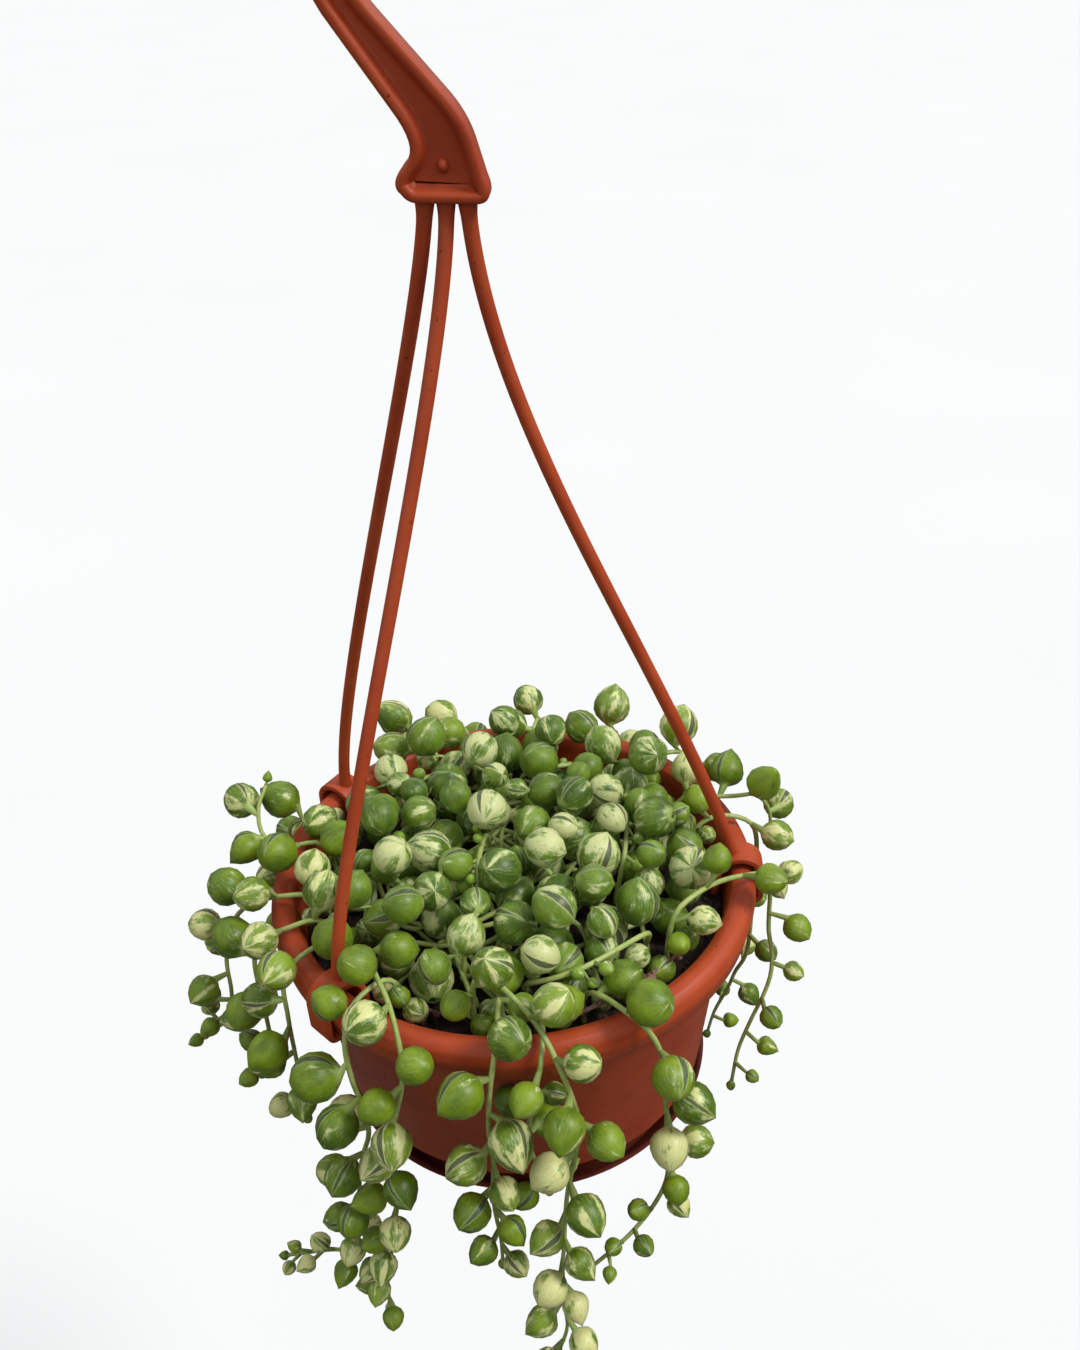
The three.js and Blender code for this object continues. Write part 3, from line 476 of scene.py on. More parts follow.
# %% Turning a profile
def turned(name, profile, steps=144):
    piece = outline(name, [(radius, 0, height) for radius, height in profile])
    pick(piece)
    bpy.ops.mesh.spin(steps=steps, angle=2 * math.pi, center=(0, 0, 0), axis=(0, 0, 1))
    leave_edit()
    close_seams(piece)
    return piece


def moulded(name, profile, softness):
    piece = turned(name, profile)
    soften(piece, softness, 2, 18)
    smooth(piece, 38)
    return piece


print("a profile can be turned")

# %% The pot's profile, as [radius, height]
RIM_RADIUS, RIM_CREST_RADIUS, SKIRT_DEPTH = 60, 56.5, 9.6
WALL, WALL_TOP_RADIUS, WALL_FOOT_RADIUS = 1.3, 54.3, 47.6
MOUTH_RADIUS, MOUTH = WALL_TOP_RADIUS - WALL, -3.6
FLOOR_RADIUS, FLOOR_UNDER, FLOOR_TOP = WALL_FOOT_RADIUS - WALL - 0.2, -58.5, -57
FOOT_RADIUS, FOOT_DEPTH, BEAD = 40.5, 5, 1
FOOT_BASE = FLOOR_UNDER - FOOT_DEPTH
BEAD_TOP = FOOT_BASE + BEAD
GAP = 0.35

POT_PROFILE = [
    (0, FLOOR_UNDER),
    (FOOT_RADIUS - 1.8, FLOOR_UNDER),
    (FOOT_RADIUS - 1.4, FOOT_BASE),
    (FOOT_RADIUS + BEAD, FOOT_BASE),
    (FOOT_RADIUS + BEAD, BEAD_TOP),
    (FOOT_RADIUS, BEAD_TOP),
    (FOOT_RADIUS, FLOOR_UNDER),
    (WALL_FOOT_RADIUS - 0.9, FLOOR_UNDER),
    (WALL_FOOT_RADIUS, FLOOR_UNDER + 1),
    (WALL_TOP_RADIUS, -3.4),
    (RIM_CREST_RADIUS, -1.5),
    (RIM_RADIUS - 1.4, -3.6),
    (RIM_RADIUS - 2.4, -SKIRT_DEPTH),
    (RIM_RADIUS - 1.1, -SKIRT_DEPTH),
    (RIM_RADIUS, -4.2),
    (RIM_RADIUS - 0.7, -1.6),
    (RIM_RADIUS - 2.1, -0.2),
    (RIM_CREST_RADIUS - 0.6, 0),
    (WALL_TOP_RADIUS - 0.3, -0.9),
    (MOUTH_RADIUS, MOUTH),
    (FLOOR_RADIUS, FLOOR_TOP),
    (0, FLOOR_TOP),
]

pot = moulded("pot_body", POT_PROFILE, 0.5)
print("pot", [round(side * 1000) for side in pot.dimensions], "mm")

# %% [markdown]
# Water runs out through four holes in the floor. A short cylinder is added at each place
# and cut out of the pot with a Boolean.

# %% Drain holes
DRAIN_RADIUS, DRAIN_CIRCLE, DRILL_LENGTH = 3, 24, 6

for azimuth in (0, 90, 180, 270):
    cut_out(pot, added(bpy.ops.mesh.primitive_cylinder_add, "drill", vertices=32,
                       radius=DRAIN_RADIUS * MM, depth=DRILL_LENGTH * MM,
                       location=placed(at(azimuth, DRAIN_CIRCLE, FLOOR_UNDER))))
dress(pot, clay_plastic, "clay_plastic", "pot")

# %% [markdown]
# ## Saucer
# The saucer is a shallow dish. Inside it stands a ring of four short lugs whose lips reach
# over the bead of the pot's foot, which is how the saucer is pressed on and stays on. The
# ring is turned with the dish, and two crossed bars cut it into lugs.

# %% Saucer
SAUCER_RADIUS, SAUCER_RIM = 48.6, -62.4
SAUCER_FLOOR_RADIUS, SAUCER_FLOOR = 38, -67.6
LUG_INNER, LUG_SLOT = FOOT_RADIUS + BEAD + GAP, 30
LUG_OUTER, LIP = LUG_INNER + WALL, BEAD_TOP + GAP
BAR_PLACE, BAR_LENGTH, BAR_HEIGHT = (0, 0, SAUCER_FLOOR + 5.2), 2 * LUG_INNER + 2 * WALL + 1, 8

SAUCER_PROFILE = [
    (0, SAUCER_FLOOR - WALL),
    (SAUCER_FLOOR_RADIUS, SAUCER_FLOOR - WALL),
    (SAUCER_FLOOR_RADIUS + 4.5, SAUCER_FLOOR - 0.4),
    (SAUCER_RADIUS, SAUCER_RIM),
    (SAUCER_RADIUS - WALL, SAUCER_RIM),
    (LUG_OUTER, SAUCER_FLOOR + 1.2),
    (LUG_OUTER, LIP + 1.5),
    (LUG_INNER, LIP + 1.5),
    (LUG_INNER - 0.8, LIP + 0.5),
    (LUG_INNER - 0.8, LIP),
    (LUG_INNER, LIP),
    (LUG_INNER, SAUCER_FLOOR),
    (0, SAUCER_FLOOR),
]

saucer = moulded("saucer_dish", SAUCER_PROFILE, 0.2)
for angle in (45, 135):
    bar = added(bpy.ops.mesh.primitive_cube_add, "bar", size=1, location=placed(BAR_PLACE),
                rotation=(0, 0, math.radians(angle)))
    bar.scale = (BAR_LENGTH * MM, LUG_SLOT * MM, BAR_HEIGHT * MM)
    cut_out(saucer, bar)
dress(saucer, maroon_plastic, "maroon_plastic", "saucer")

# %% [markdown]
# ## Hanger
# The hook, its three arms and the three clips come out of one mould. A voxel remesh would
# draw one skin round them, but it roughens long thin edges. So each form is made cleanly
# with its own soft edges, the arms widen at both ends as a mould's fillets do, and a
# Boolean union makes one solid of them.
#
# The hook is a flat plate with a thick edge and a thin web. Its outline is drawn from
# straight lines, arcs and quadratic curves in the hook's own plane.

# %% Curves for an outline
def bend(start, middle, end, steps=8):
    """A quadratic curve, without its first point."""
    shares = [(i + 1) / steps for i in range(steps)]
    return [tuple((1 - s) ** 2 * a + 2 * s * (1 - s) * b + s * s * c
                  for a, b, c in zip(start, middle, end)) for s in shares]


def arc(centre, radius, first, last, steps):
    angles = [math.radians(first + (last - first) * i / steps) for i in range(steps + 1)]
    return [(centre[0] + radius * math.cos(a), centre[1] + radius * math.sin(a)) for a in angles]


print("a quarter turn in 4 steps has", len(arc((0, 0), 1, 0, 90, 4)), "points")

# %% Distance to a closed outline
def gap_to_outline(x, y, points):
    """The distance from a place to a closed outline, negative inside it."""
    first = np.array(points, float)
    side = np.roll(first, -1, axis=0) - first
    away = np.array([x, y]) - first
    share = np.clip((away * side).sum(1) / (side * side).sum(1), 0, 1)
    nearest = np.hypot(*(away - share[:, None] * side).T).min()
    crossed = (first[:, 1] > y) != (first[:, 1] + side[:, 1] > y)
    rise = np.where(side[:, 1] == 0, 1, side[:, 1])
    inside = (crossed & (x < first[:, 0] + away[:, 1] * side[:, 0] / rise)).sum() % 2
    return -nearest if inside else nearest


print("the middle of a square:", gap_to_outline(0, 0, [(-1, -1), (1, -1), (1, 1), (-1, 1)]))

# %% The hook's outline
HOOK_BASE, HOOK_BASE_SHIFT, HOOK_TURN = 159, -2.9, -7.5
HOOK_THICKNESS, WEB_THICKNESS = 6, 2
BEND_RADIUS, BEND_RISE, HALF_RIBBON = 22, 46, 3.6

inner, outer = BEND_RADIUS - HALF_RIBBON, BEND_RADIUS + HALF_RIBBON
middle = (0, BEND_RISE)
neck = arc(middle, inner, 195, 195, 1)[0]
back = arc(middle, outer, 185, 185, 1)[0]
tip = arc(middle, BEND_RADIUS, -8, -8, 1)[0]
hook_line = [(-7.7, 0.1), (2.6, -0.4)] + bend((2.6, -0.4), (6.6, -0.6), (4.7, 4.2))
hook_line += [(3.1, 10.2)] + bend((3.1, 10.2), (1.9, 14.6), (-1.6, 18.6))
hook_line += [(-12.3, 31.3)] + bend((-12.3, 31.3), (-16, 35.7), neck)[:-1]
hook_line += arc(middle, inner, 195, -8, 40) + arc(tip, HALF_RIBBON, 172, 352, 14)[1:-1]
hook_line += arc(middle, outer, -8, 185, 44) + bend(back, (-24.9, 38.4), (-21, 31.2))
hook_line += [(-11, 16)] + bend((-11, 16), (-6.6, 9.6), (-9.2, 7.2))
hook_line += bend((-9.2, 7.2), (-12.9, 3.6), (-10.6, 1.7))
hook_line += bend((-10.6, 1.7), (-9.6, 0.2), (-7.7, 0.1))[:-1]
print("hook outline of", len(hook_line), "points")

# %% [markdown]
# The outline is filled and extruded to a plate. Two pockets leave the web between them.
# Their lips are round and their walls slope, as a mould's do, so a pocket's shape is
# extruded in steps, and each new loop lies further inside the outline. Near a tight corner
# a point stops where another side gets nearer than its own. A bevel has rounded the
# plate's outer edge before. A small nub stands on the web near the foot. It keeps its own
# smooth faces, so it is joined on after the rest.

# %% A flat plate from an outline
def flat_face(name, points):
    """A face through the points, in edit mode and selected, ready to be extruded."""
    piece = outline(name, points)
    pick(piece)
    bpy.ops.mesh.edge_face_add()
    return piece


def plate(name, points, thickness):
    piece = flat_face(name, [(u, -thickness / 2, v) for u, v in points])
    bpy.ops.mesh.extrude_region_move(TRANSFORM_OT_translate={"value": (0, thickness * MM, 0)})
    leave_edit()
    close_seams(piece)
    return piece


def moved_in(points, distance):
    points = np.array(points)
    along = np.roll(points, -1, axis=0) - np.roll(points, 1, axis=0)
    along /= np.linalg.norm(along, axis=1)[:, None]
    moved = []
    for point, (x, y) in zip(points, along):
        reach, inwards = distance, np.array([-y, x])
        while reach > 0.2 and gap_to_outline(*(point + inwards * reach), points) > -0.95 * reach:
            reach -= 0.05
        moved.append(point + inwards * reach)
    return moved


def refined(points, longest):
    """The same closed line with its long sides cut into shorter ones."""
    fine = []
    for first, second in zip(points, points[1:] + points[:1]):
        steps = max(1, round(math.dist(first, second) / longest))
        fine += [tuple(a + (b - a) * i / steps for a, b in zip(first, second))
                 for i in range(steps)]
    return fine


print("a line of 4 mm and back has", len(refined([(0, 0), (4, 0)], 1)), "sides of 1 mm")

# %% Hook
LONGEST_SIDE, HOOK_SOFTNESS = 1.2, 0.8
NUB_PLACE, NUB_RADIUS, NUB_SCALE = (-2.8, 0, HOOK_BASE + 6.2), 1.2, (1.05, 2.05, 1.3)
# how far inside the outline, and how high over the web
POCKET_WALL = [(1.15, 3.5), (1.15, 2.04), (1.6, 1.92), (1.95, 1.65), (2.15, 1.3), (2.4, 0.8),
               (2.7, 0.3), (3.05, 0.04), (3.15, 0), (3.3, 0)]


def pocket(side):
    loops = [[(u, side * (WEB_THICKNESS / 2 + height), v) for u, v in moved_in(whole_line, inset)]
             for inset, height in POCKET_WALL]
    piece = flat_face("pocket", loops[0])
    for last, loop in zip(loops, loops[1:]):
        bpy.ops.mesh.extrude_region_move()
        leave_edit()
        places = np.array([placed(point) for point in last])
        for corner in piece.data.vertices:
            if corner.select:
                corner.co = placed(loop[((places - corner.co) ** 2).sum(1).argmin()])
        bpy.ops.object.mode_set(mode="EDIT")
    bpy.ops.mesh.select_all(action="SELECT")
    bpy.ops.mesh.normals_make_consistent(inside=False)
    leave_edit()
    return piece


whole_line = refined([(u, HOOK_BASE + v) for u, v in hook_line], LONGEST_SIDE)
hook = plate("hook", whole_line, HOOK_THICKNESS)
soften(hook, HOOK_SOFTNESS, 4, 50)
for side in (-1, 1):
    cut_out(hook, pocket(side), "MANIFOLD")

nub = added(bpy.ops.mesh.primitive_uv_sphere_add, "nub", segments=16, ring_count=8,
            radius=NUB_RADIUS * MM, location=placed(NUB_PLACE))
nub.scale = NUB_SCALE
smooth(nub)
for part in (hook, nub):
    part.matrix_world = Matrix.Rotation(math.radians(HOOK_TURN), 4, "Z") @ part.matrix_world
print("hook", [round(side * 1000, 1) for side in hook.dimensions], "mm")

# %% [markdown]
# Each arm leaves the hook's foot straight down, swings out and steepens again towards the
# rim. One cubic Bezier segment has that shape, and a bevelled curve gives it thickness.

# %% A tube along a line of points
FILLET = 2.8


def tube(name, line, radius, ends=1.0, roundness=2, flare=(0, 0)):
    """line is in the drawing's millimetres, ends is the share of the radius at its far end,
    and flare is how much each end widens, as a fillet does where it meets a plate."""
    piece = added(bpy.ops.curve.primitive_nurbs_path_add, name)
    piece.data.splines.clear()
    spline = piece.data.splines.new("POLY")
    spline.points.add(len(line) - 1)
    for i, (knot, point) in enumerate(zip(spline.points, line)):
        knot.co = (*placed(point), 1)
        knot.radius = 1 + (ends - 1) * (i / (len(line) - 1)) ** 2
        for end, widening in zip((line[0], line[-1]), flare):
            knot.radius += widening * math.exp(-(math.dist(point, end) / FILLET) ** 2)
    piece.data.dimensions = "3D"
    piece.data.bevel_depth = radius * MM
    piece.data.bevel_resolution = roundness
    piece.data.use_fill_caps = True
    bpy.ops.object.convert(target="MESH")
    piece = bpy.context.object
    close_seams(piece, 0.000001)
    return piece


print("a tube's end widens over", FILLET, "mm")

# %% Arms
ARM_RADIUS, ARM_SPACING, ARM_FOOT_RADIUS, ARM_FOOT_HEIGHT = 1.5, 3.9, 54.4, 2.2
ARM_STEPS, ARM_FLARE = 150, (0.3, 0.2)
# place along the hook's foot, azimuth of the clip, drop height, knee share, knee height
ARMS = [(1, -6, 116, 0.7, 56), (-1, 142, 142, 1, 31), (0, -138, 132, 1, 29)]


def arm_line(place, azimuth, drop, knee_share, knee_height, steps):
    start = at(HOOK_TURN, HOOK_BASE_SHIFT + place * ARM_SPACING, HOOK_BASE + 1)
    foot = at(azimuth, ARM_FOOT_RADIUS, ARM_FOOT_HEIGHT)
    low = np.array([*start[:2], drop])
    knee = np.array([*(start + (foot - start) * knee_share)[:2], knee_height])
    shares = [i / steps for i in range(steps + 1)]
    return [(1 - s) ** 3 * start + 3 * s * (1 - s) ** 2 * low + 3 * s * s * (1 - s) * knee
            + s ** 3 * foot for s in shares]


hanger_parts = [hook] + [tube("arm", arm_line(*arm, ARM_STEPS), ARM_RADIUS, roundness=4,
                              flare=ARM_FLARE) for arm in ARMS]
print("arms:", len(ARMS))

# %% [markdown]
# A clip is a hood over the rim: up from inside the wall, over the crest, down outside the
# skirt and back in under its edge, with a short nib. Its middle line is drawn in the plane
# of radius and height, thickened both ways into a ribbon, and extruded sideways.

# %% Clips
CLIP_WIDTH, CLIP_WALL, CLIP_RISE, CLIP_SLACK, CLIP_SOFTNESS = 7, 1.5, 1.4, 0.9, 0.5
FACET_SHARE = math.cos(math.pi / 24)
CLIP_OFF = GAP + CLIP_WALL / 2
CLIP_INSIDE = MOUTH_RADIUS * FACET_SHARE - CLIP_OFF - CLIP_SLACK
CLIP_OUTSIDE = RIM_RADIUS + CLIP_OFF
CLIP_TOP, CLIP_BOTTOM = CLIP_OFF + CLIP_RISE, -SKIRT_DEPTH - CLIP_OFF


def clip_line(steps):
    bow, heel = 5, 2
    line = [(CLIP_INSIDE - 1, -8.2)]
    line += arc((CLIP_INSIDE + bow, CLIP_TOP - bow), bow, 180, 90, steps)
    line += arc((CLIP_OUTSIDE - bow, CLIP_TOP - bow), bow, 90, 0, steps)
    line += arc((CLIP_OUTSIDE - heel, CLIP_BOTTOM + heel), heel, 0, -90, steps)
    return line + [(CLIP_OUTSIDE - 4.6, CLIP_BOTTOM + 0.2), (CLIP_OUTSIDE - 5.2, CLIP_BOTTOM + 1.1)]


def ribbon(line, width):
    line = np.array(line)
    along = np.gradient(line, axis=0)
    along *= width / 2 / np.linalg.norm(along, axis=1)[:, None]
    offset = np.stack([-along[:, 1], along[:, 0]], axis=1)
    return np.concatenate([line + offset, (line - offset)[::-1]])


for _, azimuth, *_ in ARMS:
    clip = plate("clip", ribbon(clip_line(10), CLIP_WALL), CLIP_WIDTH)
    soften(clip, CLIP_SOFTNESS, 3, 40)
    clip.matrix_world = Matrix.Rotation(math.radians(azimuth), 4, "Z")
    hanger_parts.append(clip)
print("hanger parts:", len(hanger_parts))

# %% [markdown]
# A Boolean union now makes one solid of the parts, and the nub is joined on after it.

# %% One solid out of the hanger's parts
def join(name, parts):
    bpy.ops.object.select_all(action="DESELECT")
    for part in parts:
        part.select_set(True)
    bpy.context.view_layer.objects.active = parts[0]
    bpy.ops.object.transform_apply(location=True, rotation=True, scale=True)
    if len(parts) > 1:
        bpy.ops.object.join()
    parts[0].name = name
    return parts[0]


for part in hanger_parts[1:]:
    use_modifier(hook, "BOOLEAN", object=part, operation="UNION", solver="MANIFOLD")
    bpy.data.objects.remove(part)
hook.data.materials.clear()
smooth(hook, 40)
dress(join("hanger_moulding", [hook, nub]), clay_plastic, "clay_plastic", "hanger")

# %% [markdown]
# ## Soil
# The soil fills the pot to about a centimetre below the rim. Its top is turned with many
# rings, so that two Displace modifiers have corners to lift: one for clods and one for
# crumbs. A vertex group keeps the sides, which stand close to the pot, where they are.

# %% Soil
SOIL_EDGE, SOIL_CROWN, SOIL_RINGS, SOIL_STEPS = -10.3, -8, 58, 180


def soil_height(radius):
    share = min(radius / MOUTH_RADIUS, 1)
    return SOIL_CROWN + (SOIL_EDGE - SOIL_CROWN) * share * share


def roughen(piece, name, size, strength, group):
    grain = bpy.data.textures.new(name, "CLOUDS")
    grain.noise_scale = size * MM
    grain.noise_depth = 3
    use_modifier(piece, "DISPLACE", texture=grain, texture_coords="LOCAL", direction="Z",
                 strength=strength * MM, mid_level=0.5, vertex_group=group)


foot_radius = FLOOR_RADIUS - GAP
edge_share = (SOIL_EDGE - MOUTH) / (FLOOR_TOP - MOUTH)
edge_radius = MOUTH_RADIUS + (foot_radius + GAP - MOUTH_RADIUS) * edge_share - GAP
soil_line = [(0, FLOOR_TOP + GAP), (foot_radius, FLOOR_TOP + GAP), (edge_radius, SOIL_EDGE - 0.6)]
soil_line += [(r, soil_height(r)) for r in np.linspace(edge_radius - 0.2, 0, SOIL_RINGS)]
soil = turned("soil_fill", soil_line, SOIL_STEPS)
top = soil.vertex_groups.new(name="top")
surface = placed((0, 0, SOIL_EDGE - 0.3)).z
top.add([corner.index for corner in soil.data.vertices if corner.co.z > surface], 1, "ADD")
roughen(soil, "clods", 7, 3.0, "top")
roughen(soil, "crumbs", 1.6, 1.5, "top")
smooth(soil)
dress(soil, peat, "potting_soil", "soil")

# %% [markdown]
# ## What the leaves keep clear of
# A leaf stays half a millimetre off the pot, the hanger and other stems, and a little less
# off its own stem. So the rule that places leaves needs to know where everything is. It
# keeps one table of rods, each with two ends, a radius and an owner; a ball is a rod whose
# ends meet. The pot and the saucer are round, so the distance to their profiles is enough
# for them. The CAD model was made by the same rule with the same seeds, so the leaves land
# in the same places.

# %% Distance to a turned profile
GAP_TO_OTHERS, GAP_TO_OWN = 0.5, 0.3


def gap_to_profile(point, profile):
    return gap_to_outline(math.hypot(point[0], point[1]), point[2], profile)


print("from the rim's centre to the pot:", round(gap_to_profile((0, 0, 0), POT_PROFILE), 2), "mm")

# %% The table of rods
class Rods:
    def __init__(self):
        self.rows, self.table = [], None

    def add(self, start, end, radius, owner):
        self.rows.append((*start, *end, radius, owner))
        self.table = None

    def add_line(self, line, radius, owner):
        for start, end in zip(line, line[1:]):
            self.add(start, end, radius, owner)

    def add_leaf(self, leaf, owner):
        self.add(leaf[1], leaf[1], leaf[2], owner)

    def gaps(self, point):
        """The gap from a point to each rod, and each rod's owner."""
        if self.table is None:
            self.table = np.array(self.rows)
        start, along = self.table[:, :3], self.table[:, 3:6] - self.table[:, :3]
        away = point - start
        share = (away * along).sum(1) / np.maximum((along * along).sum(1), 1e-12)
        away = away - np.clip(share, 0, 1)[:, None] * along
        return np.sqrt((away * away).sum(1)) - self.table[:, 6], self.table[:, 7]


rods = Rods()
HANGER, MAT = -1, -2
for arm in ARMS:
    rods.add_line(arm_line(*arm, 20), ARM_RADIUS, HANGER)
    across = at(arm[1] + 90, CLIP_WIDTH / 2, 0)
    for radius, height in clip_line(4):
        middle = at(arm[1], radius, height)
        rods.add(middle - across, middle + across, CLIP_WALL / 2, HANGER)
print("rods of the hanger:", len(rods.rows))

# %% [markdown]
# ## Stems
# Each trailing stem is a smooth curve through a few points that were read off the
# photograph, or made up where the photograph doesn't show the back of the pot. The curve
# is a centripetal Catmull-Rom spline, which passes through its points without loops.

# %% A smooth curve through points
def curve_point(points, share):
    last = len(points) - 1
    i = min(int(last * share), last - 1)
    s = last * share - i
    b, c = points[i], points[i + 1]
    a = points[i - 1] if i > 0 else 2 * b - c
    d = points[i + 2] if i + 2 <= last else 2 * c - b
    p, q, r = (((v - u) ** 2).sum() ** 0.25 for u, v in ((a, b), (b, c), (c, d)))
    first = q * ((b - a) / p - (c - a) / (p + q) + (c - b) / q)
    second = q * ((c - b) / q - (d - b) / (q + r) + (d - c) / r)
    square, cube = 3 * (c - b) - 2 * first - second, 2 * (b - c) + first + second
    return b + first * s + square * s ** 2 + cube * s ** 3


def stem_line(points, step):
    """Points along the curve, as near to the step apart as a whole number of steps allows."""
    shares = np.linspace(0, 1, 201)
    fine = np.array([curve_point(points, share) for share in shares])
    run = np.concatenate([[0], np.cumsum(np.linalg.norm(np.diff(fine, axis=0), axis=1))])
    steps = int(run[-1] / step + 0.5)
    places = np.interp(np.linspace(0, run[-1], steps + 1), run, shares)
    return np.array([curve_point(points, share) for share in places])


print("halfway along three points lies the second:", curve_point(np.eye(3), 0.5))

# %% [markdown]
# A stem's row gives the radii of its first and last leaves, how close its leaves stand in
# radii, the length of their stalks, the seed of its random numbers, and its course from
# the soil as azimuth, radius and height.

